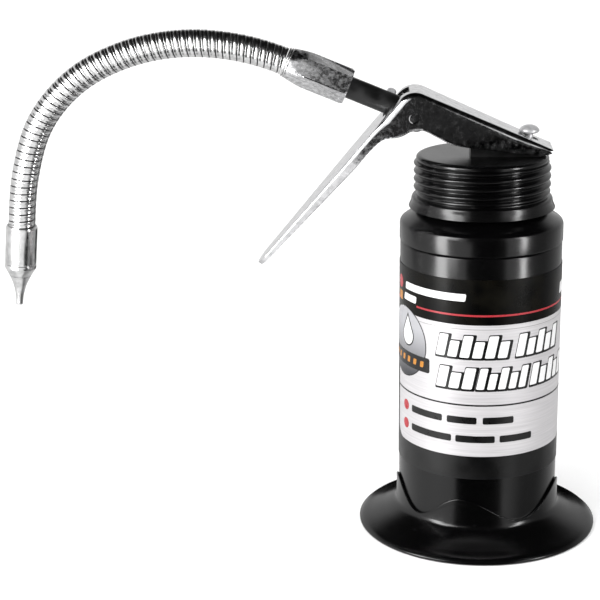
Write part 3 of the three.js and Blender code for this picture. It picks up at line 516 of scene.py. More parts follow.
def can_skin():
    """Drawn cup with a rounded bottom corner, stepped in at the top for the shoulder."""
    wall = CAN_WALL
    rim = SKIRT_RADIUS - 0.8 * MM
    step = SEAM - 0.9 * MM
    corner = 1.5 * MM
    profile = [(0, 0), *arc_points((CAN_RADIUS - corner, corner), corner, -90, 0)]
    profile += [
        (CAN_RADIUS, step),
        (CAN_RADIUS - 0.15 * MM, step + 0.3 * MM),
        (rim, step + 0.75 * MM),
        (rim, CAN_TOP),
        (rim - wall, CAN_TOP),
        (rim - wall, step + 0.4 * MM),
        (CAN_RADIUS - wall, step - 0.3 * MM),
        (CAN_RADIUS - wall, corner),
        (CAN_RADIUS - corner, wall),
        (0, wall),
    ]
    piece = turned("can_skin", profile, [ENAMEL])
    finish_piece(piece, "can", "black_enamel", "can_body")


def thread_height(height, angle, start, turns):
    """0 to 1: how high the helical thread stands at this height and angle."""
    along = (height - start) / THREAD_PITCH
    ridge = 0.5 + 0.5 * math.cos(2 * math.pi * along - angle)
    fade = min(1, max(0, (along + 0.5) * 1.6)) * min(1, max(0, (turns - 0.2 - along) * 1.6))
    return ridge**0.75 * fade


def shoulder_skin():
    """Rounded shoulder that runs up into the neck with its helical thread."""
    wall = CAN_WALL
    bead = 0.45 * MM
    edge = SEAM + 6 * MM
    foot = edge + 5 * MM
    slope = smooth_curve(
        [
            (SKIRT_RADIUS, edge - 0.9 * MM),
            (SKIRT_RADIUS - 0.35 * MM, edge + 0.15 * MM),
            (SKIRT_RADIUS - 1.4 * MM, edge + 1 * MM),
            (SKIRT_RADIUS - 3 * MM, edge + 2 * MM),
            (NECK_RADIUS + 1.3 * MM, edge + 3.6 * MM),
            (NECK_RADIUS - bead, foot + 0.4 * MM),
        ],
        5,
    )
    neck = [(NECK_RADIUS - bead, height) for height in even(foot + 0.5 * MM, NECK_TOP, 84)]
    profile = [
        (SKIRT_RADIUS - wall, SEAM),
        (SKIRT_RADIUS - 0.15 * MM, SEAM),
        (SKIRT_RADIUS, SEAM + 0.2 * MM),
        *slope,
        *neck,
        (NECK_RADIUS - bead - wall, NECK_TOP),
        (NECK_RADIUS - bead - wall, foot - wall),
        (SKIRT_RADIUS - wall - 1.2 * MM, edge + 0.3 * MM),
        (SKIRT_RADIUS - wall, edge - 0.8 * MM),
    ]
    start = foot + 2.2 * MM

    def thread(radius, height, angle):
        on_neck = foot + 0.45 * MM < height < NECK_TOP - 0.1 * MM
        if on_neck and radius > NECK_RADIUS - 1.01 * bead:
            radius += bead * thread_height(height, angle, start, THREAD_TURNS)
        return radius, height

    piece = turned("shoulder_skin", profile, [ENAMEL], shape=thread)
    finish_piece(piece, "can", "black_enamel", "can_shoulder")


def cap_skin():
    """Pressed cap: a disc with a rolled edge, a rolled helical thread and a flared lip."""
    wall = 0.8 * MM
    bead = 1.05 * MM
    disc = 20.2 * MM
    inner_top = CAP_TOP - wall
    thread_low = LIP_BOTTOM + 4.2 * MM
    edge = smooth_curve(
        [
            (disc - 1.2 * MM, CAP_TOP),
            (disc - 0.2 * MM, CAP_TOP - 0.05 * MM),
            (disc + 0.65 * MM, CAP_TOP - 0.45 * MM),
            (disc + 0.9 * MM, CAP_TOP - 1.1 * MM),
            (THREAD_ROOT + 0.05 * MM, CAP_TOP - 2 * MM),
        ],
        4,
    )
    threads = [(THREAD_ROOT, height) for height in even(CAP_TOP - 2.1 * MM, thread_low, 112)]
    lip = smooth_curve(
        [
            (THREAD_ROOT + 0.25 * MM, thread_low - 0.25 * MM),
            (THREAD_ROOT + 1.25 * MM, thread_low - 0.6 * MM),
            (THREAD_ROOT + 1.65 * MM, thread_low - 1.2 * MM),
            (THREAD_ROOT + 1.85 * MM, thread_low - 2.4 * MM),
            (LIP_RADIUS - 0.05 * MM, LIP_BOTTOM + 0.15 * MM),
        ],
        4,
    )
    profile = [
        (0, CAP_TOP),
        (0.5 * disc, CAP_TOP),
        *edge,
        *threads,
        *lip,
        (LIP_RADIUS - 0.2 * MM, LIP_BOTTOM),
        (LIP_RADIUS - wall, LIP_BOTTOM),
        (THREAD_ROOT + 1.1 * MM, LIP_BOTTOM + 1.9 * MM),
        (NECK_RADIUS + 0.25 * MM, thread_low),
        (NECK_RADIUS + 0.25 * MM, inner_top),
        (0, inner_top),
    ]
    start = thread_low + 0.9 * MM

    def thread(radius, height, angle):
        if abs(radius - THREAD_ROOT) < 1e-9:
            radius += bead * thread_height(height, angle, start, THREAD_TURNS + 0.4)
        return radius, height

    piece = turned("cap_skin", profile, [ENAMEL], shape=thread)
    finish_piece(piece, "cap", "black_enamel", "screw_cap")


# ---- Label ------------------------------------------------------------------------

FILM = 0.15 * MM
PANEL_LOW = 31.9 * MM
PANEL_HIGH = 75.7 * MM
RED_LINE = 78.8 * MM
FRONT = math.radians(-89)
PANEL_HALF = math.radians(81)

# Printed parts' lower and upper edges, in millimetres above the floor.
FINE_RULE = (74.2, 74.35)
HEADING_TOP = (65.0, 72.2)
HEADING_LOW = (54.6, 61.6)
RULE = (48.9, 49.45)
RIBBON = (57.8, 62.7)
BULLET_HEIGHTS = (44.2, 37.9)
BULLET_ANGLE = -154.9
BADGE_ANGLE = -158
BADGE_HEIGHT = 65.8
BADGE_RADIUS = 11.4


def on_label(angle, height, proud):
    radius = LABEL_RADIUS + proud
    return Vector((radius * math.cos(angle), radius * math.sin(angle), height))


def wrapped(name, outlines, material, level=1):
    """Closed thin patches printed on the label. Each outline is a list of (mm round the
    can from the front's middle, height in mm); level sets which lies over which."""
    low = -0.02 * MM
    high = 0.025 * MM * level
    verts = []
    faces = []
    for outline in outlines:
        work = bmesh.new()
        ring = [work.verts.new((u, v, 0)) for u, v in outline]
        work.faces.new(ring)
        left = min(u for u, v in outline)
        right = max(u for u, v in outline)
        slices = int((right - left) / 0.9)
        for spot in even(left, right, slices + 1)[1:-1]:
            geometry = work.verts[:] + work.edges[:] + work.faces[:]
            bmesh.ops.bisect_plane(work, geom=geometry, plane_co=(spot, 0, 0), plane_no=(1, 0, 0))
        work.verts.index_update()
        first = len(verts)
        count = len(work.verts)
        for proud in (high, low):
            for vertex in work.verts:
                angle = FRONT + vertex.co.x * MM / LABEL_RADIUS
                verts.append(on_label(angle, vertex.co.y * MM, proud))
        for face in work.faces:
            corners = [vertex.index for vertex in face.verts]
            faces.append([first + c for c in corners])
            faces.append([first + count + c for c in reversed(corners)])
        for border in work.edges:
            if border.is_boundary:
                a, b = (vertex.index for vertex in border.verts)
                faces.append([first + a, first + b, first + count + b, first + count + a])
        work.free()
    piece = make_piece(name, verts, faces, [material], sharp=60)
    finish_piece(piece, "can", "label_film")


def label_skin():
    """The film: a thin sleeve, dark grey at its foot and black above."""
    inner = LABEL_RADIUS - FILM
    heights = [LABEL_LOW, LABEL_LOW + 0.05 * MM, PANEL_LOW + 12 * MM, LABEL_HIGH - 0.05 * MM, LABEL_HIGH]
    profile = [(inner, LABEL_LOW)]
    profile += [(LABEL_RADIUS, height) for height in heights]
    profile += [(inner, LABEL_HIGH)]
    piece = turned(
        "label_skin",
        profile,
        [LABEL_BASE, LABEL_BLACK],
        sides=256,
        index=lambda row, column: 1 if row >= 3 else 0,
    )
    finish_piece(piece, "can", "label_film", "body_label")


def bar(left, right, low, high, radius=0.3, slant=0.0):
    """A bar with rounded corners; slant leans its top to the right."""
    r = min(radius, 0.49 * (right - left), 0.49 * (high - low))
    points = arc_points((right - r, high - r), r, 0, 90, 4)
    points += arc_points((left + r, high - r), r, 90, 180, 4)
    points += arc_points((left + r, low + r), r, 180, 270, 4)
    points += arc_points((right - r, low + r), r, 270, 360, 4)
    return [(u + slant * (v - low), v) for u, v in points]


def panel_outline(middle):
    """The silver panel: square corners above, rounded ones below."""
    half = PANEL_HALF * LABEL_RADIUS / MM
    low = PANEL_LOW / MM
    high = PANEL_HIGH / MM
    r = 4.5
    points = [(middle + half, high), (middle - half, high)]
    points += arc_points((middle - half + r, low + r), r, 180, 270)
    points += arc_points((middle + half - r, low + r), r, 270, 360)
    return points


def around(angle):
    """Millimetres round the can from the front's middle, for an angle in degrees."""
    return (math.radians(angle) - FRONT) * LABEL_RADIUS / MM


def word_blocks(left, right, count, low, high, slant, gap=1.0):
    """A word's stand-in: leaning blocks, every second one lower, as a plain pattern."""
    width = (right - left - gap * (count - 1)) / count
    blocks = []
    for k in range(count):
        start = left + k * (width + gap)
        top = high if k % 2 == 0 else low + 0.74 * (high - low)
        blocks.append((start, start + width, low, top, slant))
    return blocks


def heading(name, low, high, words):
    """A bold row of white blocks, each with a black outline and a drop shadow."""
    white = []
    black = []
    for left, right, count in words:
        for start, end, bottom, top, slant in word_blocks(around(left), around(right), count, low, high, 0.2):
            white.append(bar(start, end, bottom, top, 0.4, slant))
            black.append(bar(start - 0.4, end + 0.9, bottom - 0.75, top + 0.4, 0.5, slant))
    wrapped(name + "_shadow", black, INK_BLACK, 2)
    wrapped(name, white, INK_WHITE, 3)


def label_art():
    circle = 2 * math.pi * LABEL_RADIUS / MM
    wrapped("label_panel", [panel_outline(0), panel_outline(circle / 2)], LABEL_SILVER, 1)
    half = PANEL_HALF * LABEL_RADIUS / MM
    red = RED_LINE / MM
    line_start = around(-142.6)
    red_line = bar(line_start, line_start + 0.93 * circle, red - 0.3, red + 0.3, 0.1)
    wrapped("label_red_line", [red_line], INK_RED, 1)
    lines = []
    fine = []
    for middle in (0, circle / 2):
        lines.append(bar(middle - half, middle + half, *RULE, 0.1))
        fine.append(bar(middle - half, middle + half, *FINE_RULE, 0.05))
    wrapped("label_rule", lines, INK_BLACK, 2)
    wrapped("label_fine_rule", fine, INK_GREY, 2)
    heading("label_heading_top", *HEADING_TOP, [(-124, -73.5, 6), (-67, -27, 5)])
    heading("label_heading_low", *HEADING_LOW, [(-123.5, -97.5, 3), (-94.5, -59, 5), (-55, -15, 5)])
    bars = []
    for low, words in (
        (42.7, [(-147, -118.6), (-114.9, -93.7), (-89.5, -67.4)]),
        (36.4, [(-147, -111.5), (-108.4, -80.8), (-77.4, -52.3)]),
    ):
        for left, right in words:
            bars.append(bar(around(left), around(right), low + 0.2, low + 2.5, 0.5))
    back = circle / 2
    for k in range(6):
        bars.append(bar(back - 28, back + 28 - 7 * (k % 3), 67 - 2.8 * k, 68 - 2.8 * k, 0.3))
    wrapped("label_text_bars", bars, INK_BLACK, 2)
    bullet = around(BULLET_ANGLE)
    dots = [arc_points((bullet, height), 1.75, 0, 345, 23) for height in BULLET_HEIGHTS]
    wrapped("label_bullets", dots, INK_RED, 2)
    top_bars = [
        bar(around(-157.5), around(-103), 83.3, 85.7, 0.5, 0.15),
        bar(around(-159.5), around(-143.5), 79.6, 81.9, 0.5, 0.15),
        bar(around(-19), around(6), 81.2, 84.8, 0.5, 0.15),
    ]
    wrapped("label_band_bars", top_bars, INK_WHITE, 1)
    badge()


def badge():
    """A round badge with an oil drop and a dark ribbon across its foot."""
    centre = (around(BADGE_ANGLE), BADGE_HEIGHT)
    radius = BADGE_RADIUS
    rim = arc_points(centre, radius + 0.35, 0, 352.5, 47)
    wrapped("label_badge_rim", [rim], INK_BLACK, 2)
    wrapped("label_badge", [arc_points(centre, radius, 0, 352.5, 47)], BADGE_SILVER, 3)
    drop = (centre[0] + 2.2, centre[1] + 2.4)
    wrapped("label_drop_shadow", [drop_outline(drop, 3.6)], INK_BLACK, 4)
    wrapped("label_drop", [drop_outline(drop, 3.1)], INK_WHITE, 5)
    ribbon = bar(centre[0] - 13.1, centre[0] + 13.1, *RIBBON, 0.7)
    wrapped("label_ribbon", [ribbon], INK_BLACK, 4)
    lefts = [centre[0] - radius + 3.4 * k for k in range(7)]
    stripes = [bar(left, left + 1.5, 59.3, 61.3, 0.3, 0.15) for left in lefts]
    wrapped("label_ribbon_stripes", stripes, INK_AMBER, 5)
    dot = arc_points((around(-167.5), 84.6), 2.2, 0, 345, 15)
    wrapped("label_emblem", [dot], INK_RED, 1)
    base = bar(around(-171), around(-163.5), 78.6, 81.6, 0.5)
    wrapped("label_emblem_base", [base], INK_AMBER, 1)


def drop_outline(centre, radius):
    """An oil drop: a circle below that runs up to a point."""
    points = arc_points(centre, radius, 150, 390, 20)
    points.append((centre[0], centre[1] + 2.1 * radius))
    return points


# ---- Pump -------------------------------------------------------------------------


def plunger_skin():
    """Rod with a turned, domed head that the lever lifts."""
    rod = 1.2 * MM
    rise = 1.9 * MM
    drop = 0.85 * MM
    level = ROD_HIGH - rise
    ease = 0.2 * MM
    profile = [(0, ROD_LOW), (rod - ease, ROD_LOW), (rod, ROD_LOW + ease), (rod, level - drop)]
    profile += arc_points((rod, level), DOME_RADIUS - rod, -75, 0, 5, drop)
    profile += arc_points((0, level), DOME_RADIUS, 7.5, 82.5, 10, rise)
    profile.append((0, ROD_HIGH))
    place = Matrix.Translation((PUMP_X, 0, 0))
    piece = turned("plunger_skin", profile, [SATIN], sides=64, place=place, sharp=50)
    finish_piece(piece, "plunger", "chrome", "plunger_rod")


def tube_skin():
    """Black spout tube from the pump head to the nut, with eased ends."""
    low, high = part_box("spout_tube")
    middle = (low + high) / 2
    span = high.x - low.x - 2 * TUBE_RADIUS * math.sin(SPOUT_SLOPE)
    half = span / math.cos(SPOUT_SLOPE) / 2
    ease = 0.3 * MM
    profile = [
        (OIL_BORE, -half),
        (TUBE_RADIUS - ease, -half),
        (TUBE_RADIUS, -half + ease),
        (TUBE_RADIUS, half - ease),
        (TUBE_RADIUS - ease, half),
        (OIL_BORE, half),
    ]
    piece = turned("tube_skin", profile, [OXIDE], sides=96, place=axis_place(middle, SPOUT_DIRECTION))
    finish_piece(piece, "cap", "black_oxide", "spout_tube")


def spring_skin():
    """Return spring of round wire, wound at rest inside the CAD spring's box. The piece is
    baked in place: it stays put and does not close up as the plunger rises."""
    low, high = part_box("return_spring")
    wire = 0.4 * MM
    coil = (high.x - low.x) / 2 - wire
    turns = 9
    steps = 28
    sides = 12
    verts = []
    total = turns * steps
    for i, height in enumerate(even(low.z + wire, high.z - wire, total)):
        angle = 2 * math.pi * i / steps
        out = Vector((math.cos(angle), math.sin(angle), 0))
        centre = Vector((PUMP_X, 0, height)) + out * coil
        for j in range(sides):
            turn = 2 * math.pi * j / sides
            verts.append(centre + out * wire * math.cos(turn) + Vector((0, 0, wire * math.sin(turn))))
    faces = grid_faces(total + 1, sides)
    faces += [(list(range(first, first + sides)), 0) for first in (0, total * sides)]
    piece = make_piece("spring_skin", verts, faces, [STEEL], sharp=60)
    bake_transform(piece)
    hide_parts("return_spring")


def stud_skin(side, node):
    """Lever stud with a slightly domed rivet head, flush with the cheek."""
    low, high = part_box(node)
    ease = 0.2 * MM
    dome = 0.06 * MM
    inner, outer = sorted((abs(low.y), abs(high.y)))
    edge = outer - 0.35 * MM
    profile = [(0, inner), (STUD_RADIUS - ease, inner), (STUD_RADIUS, inner + ease), (STUD_RADIUS, edge)]
    profile += arc_points((0, edge), STUD_RADIUS, 18, 72, 3, dome)
    profile.append((0, edge + dome))
    place = axis_place(Vector((PIVOT.x, 0, PIVOT.z)), Vector((0, side, 0)))
    piece = turned("stud_skin_" + node.split("_")[-1], profile, [CHROME], sides=48, place=place)
    finish_piece(piece, "cap", "bright_steel", node)


def yoke_skin():
    """Rounded block on the spout tube that the studs stand in."""
    half = 4 * MM
    front = 3.3 * MM
    rear = 4.3 * MM
    round_off = 3 * MM
    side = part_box("pivot_yoke")[1].y
    up = Vector((0, 1, 0)).cross(SPOUT_DIRECTION)
    corners = ((front, half, 0), (-rear, half, 90), (-rear, -half, 180), (front, -half, 270))
    outline = []
    for x, z, turn in corners:
        middle_x = x - math.copysign(round_off, x)
        middle_z = z - math.copysign(round_off, z)
        outline += arc_points((middle_x, middle_z), round_off, turn, turn + 90, 6)
    verts = []
    for y in (-side, side):
        for along, height in outline:
            verts.append(PIVOT + SPOUT_DIRECTION * along + up * height + Vector((0, y, 0)))
    count = len(outline)
    faces = grid_faces(2, count)
    faces += [(list(range(count)), 0), (list(range(count, 2 * count)), 0)]
    piece = make_piece("yoke_skin", verts, faces, [OXIDE])
    drill(piece, TUBE_RADIUS + 0.03 * MM, 9 * MM, axis_place(PIVOT, SPOUT_DIRECTION), 64)
    bevelled(piece, 0.2 * MM, 2, 50)
    applied(piece, 40)
    finish_piece(piece, "cap", "black_oxide", "pivot_yoke")


# ---- Lever ------------------------------------------------------------------------

PLATE_SLOPE = math.radians(23.8)
PLATE_OFFSET = 8.04 * MM
PLATE_REACH = 44.3 * MM
TRIGGER_SLOPE = math.radians(50)
TRIGGER_OFFSET = 7.2 * MM
TRIGGER_REACH = 69.2 * MM
TIP_CORNER = 4.5 * MM
BEND_RADIUS = 6.7 * MM
LEVER_HALF = 10 * MM
LEVER_REAR_HALF = 7.3 * MM
LEVER_TIP_HALF = 5 * MM
FLANGE_DEPTH = 3.3 * MM
CHEEK_LEAVE = 23.5 * MM
CHEEK_ROUND = 2.3 * MM
WINDOW_HALF = 4.6 * MM
SLOT_HALF = 1.55 * MM


def lever_axes(slope, forward):
    """(direction along the sheet, outward normal) in the XZ plane."""
    if forward:
        return Vector((math.cos(slope), -math.sin(slope))), Vector((math.sin(slope), math.cos(slope)))
    return Vector((-math.cos(slope), -math.sin(slope))), Vector((-math.sin(slope), math.cos(slope)))


PLATE_ALONG, PLATE_OUT = lever_axes(PLATE_SLOPE, True)
TRIGGER_ALONG, TRIGGER_OUT = lever_axes(TRIGGER_SLOPE, False)
PIVOT_XZ = Vector((PIVOT.x, PIVOT.z))


def bend_centre():
    """Where both faces of the bent sheet are a bend radius away."""
    a = PLATE_OFFSET - BEND_RADIUS
    b = TRIGGER_OFFSET - BEND_RADIUS
    det = PLATE_OUT.x * TRIGGER_OUT.y - PLATE_OUT.y * TRIGGER_OUT.x
    x = (a * TRIGGER_OUT.y - b * PLATE_OUT.y) / det
    z = (b * PLATE_OUT.x - a * TRIGGER_OUT.x) / det
    return PIVOT_XZ + Vector((x, z))


BEND_CENTRE = bend_centre()
TRIGGER_BEND = (BEND_CENTRE - PIVOT_XZ).dot(TRIGGER_ALONG)
PLATE_BEND = (BEND_CENTRE - PIVOT_XZ).dot(PLATE_ALONG)
BEND_ARC = BEND_RADIUS * (math.pi - (math.pi / 2 - TRIGGER_SLOPE) - (math.pi / 2 - PLATE_SLOPE))
TIP_LENGTH = TRIGGER_REACH - TRIGGER_BEND
LEVER_LENGTH = TIP_LENGTH + BEND_ARC + PLATE_REACH - PLATE_BEND


def lever_place(distance):
    """(point on the outer face, outward normal) at a distance from the trigger's tip."""
    if distance < TIP_LENGTH:
        reach = TRIGGER_REACH - distance
        return PIVOT_XZ + TRIGGER_ALONG * reach + TRIGGER_OUT * TRIGGER_OFFSET, TRIGGER_OUT
    if distance < TIP_LENGTH + BEND_ARC:
        angle = math.pi / 2 + TRIGGER_SLOPE - (distance - TIP_LENGTH) / BEND_RADIUS
        normal = Vector((math.cos(angle), math.sin(angle)))
        return BEND_CENTRE + normal * BEND_RADIUS, normal
    reach = PLATE_BEND + distance - TIP_LENGTH - BEND_ARC
    return PIVOT_XZ + PLATE_ALONG * reach + PLATE_OUT * PLATE_OFFSET, PLATE_OUT


def trigger_station(reach):
    """Station of a place on the trigger, given its reach from the pivot."""
    return TRIGGER_REACH - reach


def plate_station(reach):
    """Station of a place on the plate, given its reach from the pivot."""
    return TIP_LENGTH + BEND_ARC + reach - PLATE_BEND


def cheek_edge_line():
    """The cheeks' lower edge as (station, x, z): from the trigger's low flange, round
    under the bend, and back along the plate to just above the cap."""
    floor = CAP_TOP + 0.35 * MM - PIVOT.z
    flange = TRIGGER_OUT * (TRIGGER_OFFSET - FLANGE_DEPTH)
    leave = TRIGGER_ALONG * CHEEK_LEAVE + flange
    middle = TRIGGER_ALONG * (CHEEK_LEAVE - 7 * MM) + flange
    knots = [
        (trigger_station(CHEEK_LEAVE), leave.x, leave.y),
        (trigger_station(CHEEK_LEAVE - 7 * MM), middle.x, middle.y),
        (trigger_station(10 * MM), -9.5 * MM, -6.6 * MM),
        (trigger_station(5.2 * MM), -5.4 * MM, -6.0 * MM),
        (trigger_station(2.2 * MM), -3.2 * MM, -5.3 * MM),
        (trigger_station(-0.6 * MM), -1.0 * MM, -4.1 * MM),
        (TIP_LENGTH + 0.5 * BEND_ARC, 1.2 * MM, -3.8 * MM),
        (plate_station(PLATE_BEND + 2 * MM), 3.4 * MM, -3.9 * MM),
        (plate_station(8.6 * MM), 7.5 * MM, -6.1 * MM),
        (plate_station(13.6 * MM), 11.5 * MM, -8.2 * MM),
        (plate_station(19 * MM), 16.5 * MM, floor + 3.3 * MM),
        (plate_station(27 * MM), 24 * MM, floor + 2.3 * MM),
        (plate_station(35 * MM), 32 * MM, floor + 1.2 * MM),
        (LEVER_LENGTH, 40.8 * MM, floor),
    ]
    return smooth_curve(knots, 8)


def cheek_bottom(distance, line):
    """The cheek's lower edge at a station, in the XZ plane."""
    if distance <= line[0][0]:
        point, normal = lever_place(distance)
        return point - normal * (SHEET + (FLANGE_DEPTH - SHEET) * distance / line[0][0])
    for (d0, x0, z0), (d1, x1, z1) in zip(line, line[1:]):
        if distance <= d1:
            share = (distance - d0) / (d1 - d0)
            return PIVOT_XZ + Vector((x0 + (x1 - x0) * share, z0 + (z1 - z0) * share))
    return PIVOT_XZ + Vector(line[-1][1:])


def station_distances(window, slot):
    """Where the lever's cross-sections stand: closer in the bend, and at every cut."""
    marks = [0, TIP_CORNER, trigger_station(CHEEK_LEAVE), *window, TIP_LENGTH, TIP_LENGTH + BEND_ARC, *slot]
    marks = sorted([*marks, LEVER_LENGTH])
    stations = [0]
    for start, end in zip(marks, marks[1:]):
        if end - start < 1e-7:
            continue
        fine = start < TIP_CORNER or window[0] <= start < TIP_LENGTH + BEND_ARC + 2 * MM
        step = 0.4 * MM if fine else 1.0 * MM
        count = max(1, math.ceil((end - start) / step))
        stations += even(start, end, count)[1:]
    return stations


def lever_window():
    """Start and end of the window for the spout tube, from the trigger's tip: the tube
    passes with a gap at rest below it and, with the lever squeezed, above it."""
    swing = math.radians(JOINTS["lever_squeeze"]["range_deg"][1])
    gap = TUBE_RADIUS + 0.4 * MM
    places = [TIP_LENGTH - 16 * MM + 0.02 * MM * k for k in range(1300)]

    def offsets(distance, slope):
        point, normal = lever_place(distance)
        up = Vector((math.sin(slope), math.cos(slope)))
        return [(spot - PIVOT_XZ).dot(up) for spot in (point, point - normal * SHEET)]

    low = max(d for d in places if max(offsets(d, SPOUT_SLOPE)) < -gap)
    high = min(d for d in places if d > low and min(offsets(d, SPOUT_SLOPE + swing)) > gap)
    return [low, high]


def lever_slot():
    """Start and end of the slot for the plunger's rod."""
    centre = (PUMP_X - PIVOT.x) / math.cos(PLATE_SLOPE) - PLATE_OFFSET * math.tan(PLATE_SLOPE)
    return [plate_station(centre - 2.2 * MM), plate_station(centre + 3.1 * MM)]


def lever_half_width(distance, x):
    """Half of the lever's width: rounded tip, widening up the trigger, and drawn in
    again towards the plate's rear."""
    widest = trigger_station(CHEEK_LEAVE)
    if distance < widest:
        half = LEVER_TIP_HALF + (LEVER_HALF - LEVER_TIP_HALF) * distance / widest
        left = max(0, TIP_CORNER - distance)
        return half - TIP_CORNER + math.sqrt(TIP_CORNER**2 - left**2)
    start = PIVOT.x + 4 * MM
    end = (PIVOT_XZ + PLATE_ALONG * PLATE_REACH).x
    share = min(1, max(0, (x - start) / (end - start)))
    return LEVER_HALF - share * (LEVER_HALF - LEVER_REAR_HALF)


def half_face(limit, side, round_off, top, normal, bottom):
    """One side's points of a face of the sheet as (y, place): across the web out to the
    limit, round the corner, and down the cheek at y = side to the lower edge."""
    inmost = min(WINDOW_HALF, 0.9 * limit)
    rows = [0, 0.5 * SLOT_HALF, SLOT_HALF, 0.5 * (SLOT_HALF + inmost)]
    rows += even(inmost, limit, 5)
    points = [(y, top) for y in rows]
    for k in range(1, 8):
        angle = math.radians(90 * k / 7)
        points.append((limit + round_off * math.sin(angle), top - normal * round_off * (1 - math.cos(angle))))
    start = top - normal * round_off
    points += [(side, spot) for spot in even(start, bottom, 10)[1:]]
    return points


def lever_section(distance, line):
    """(outer, inner) points of the sheet across one station, from the near cheek's lower
    edge to the far one's."""
    point, normal = lever_place(distance)
    bottom = cheek_bottom(distance, line)
    half = lever_half_width(distance, point.x)
    depth = (point - bottom).dot(normal)
    least = 0.35 * MM
    grown = min(1, max(0, (depth - SHEET) / (5 * MM)))
    outside = least + (CHEEK_ROUND - least) * grown
    inside = min(max(outside - SHEET, 0.1 * MM), 0.5 * max(0, depth - SHEET))
    under = point - normal * SHEET
    outer = half_face(half - outside, half, outside, point, normal, bottom)
    inner_half = half - SHEET
    inner = half_face(inner_half - inside, inner_half, inside, under, normal, bottom)
    sections = []
    for side in (outer, inner):
        near = [(-y, spot) for y, spot in reversed(side)]
        sections.append([Vector((spot.x, y, spot.y)) for y, spot in near[:-1] + side])
    return sections


def lever_skin():
    """Pressed channel with rounded shoulders, run out flat down the trigger."""
    line = cheek_edge_line()
    window = lever_window()
    slot = lever_slot()
    stations = station_distances(window, slot)
    sections = [lever_section(distance, line) for distance in stations]
    columns = len(sections[0][0])
    middle = (columns - 1) // 2
    verts = []
    for outer, inner in sections:
        verts += outer + inner

    def corner(i, j, under):
        return i * 2 * columns + under * columns + j

    def is_open(i, j):
        if not (0 <= i < len(sections) - 1 and 0 <= j < columns - 1):
            return True
        centre = (stations[i] + stations[i + 1]) / 2
        across = max(abs(j - middle), abs(j + 1 - middle))
        in_window = window[0] < centre < window[1] and across <= 4
        in_slot = slot[0] < centre < slot[1] and across <= 2
        return in_window or in_slot

    faces = []
    for i in range(len(sections) - 1):
        for j in range(columns - 1):
            if is_open(i, j):
                continue
            for under in (0, 1):
                quad = [corner(i, j, under), corner(i, j + 1, under)]
                quad += [corner(i + 1, j + 1, under), corner(i + 1, j, under)]
                faces.append(quad)
            walls = (
                (is_open(i - 1, j), (i, j), (i, j + 1)),
                (is_open(i + 1, j), (i + 1, j), (i + 1, j + 1)),
                (is_open(i, j - 1), (i, j), (i + 1, j)),
                (is_open(i, j + 1), (i, j + 1), (i + 1, j + 1)),
            )
            for bare, a, b in walls:
                if bare:
                    faces.append([corner(*a, 0), corner(*b, 0), corner(*b, 1), corner(*a, 1)])
    piece = make_piece("lever_skin", verts, faces, [CHROME], sharp=40)
    bevelled(piece, 0.12 * MM, 2, 50)
    drill(piece, STUD_RADIUS + 0.05 * MM, 12 * MM, axis_place(PIVOT, Vector((0, 1, 0))), 48)
    finish_piece(piece, "lever", "chrome", "trigger_lever")


def lever_nub():
    """Small folded corner of sheet left standing beside the tube's window."""
    centre = PIVOT + Vector((-7.2 * MM, 7.2 * MM, 5.4 * MM))
    radius = 1.5 * MM
    half = 1.6 * MM
    profile = [(0, -half)]
    for degrees in even(-67.5, 67.5, 6):
        angle = math.radians(degrees)
        swell = radius * math.cos(angle) * (1 - 0.12 * math.sin(2 * angle))
        profile.append((swell, half * math.sin(angle)))
    profile.append((0, half))
    place = axis_place(centre, Vector((-0.55, 0.2, 0.8)))

    def dent(r, height, angle):
        return r * (1 + 0.18 * math.cos(3 * angle) + 0.08 * math.sin(5 * angle)), height

    piece = turned("lever_nub", profile, [SATIN], sides=40, place=place, shape=dent, sharp=60)
    finish_piece(piece, "lever", "chrome")


# ---- Nut, hose and nozzle ---------------------------------------------------------

NUT_FLATS = 10.1 * MM
NUT_LENGTH = 20.2 * MM
NUT_START = PIVOT + SPOUT_DIRECTION * 22.2 * MM
NOSE_RADIUS = 4.9 * MM


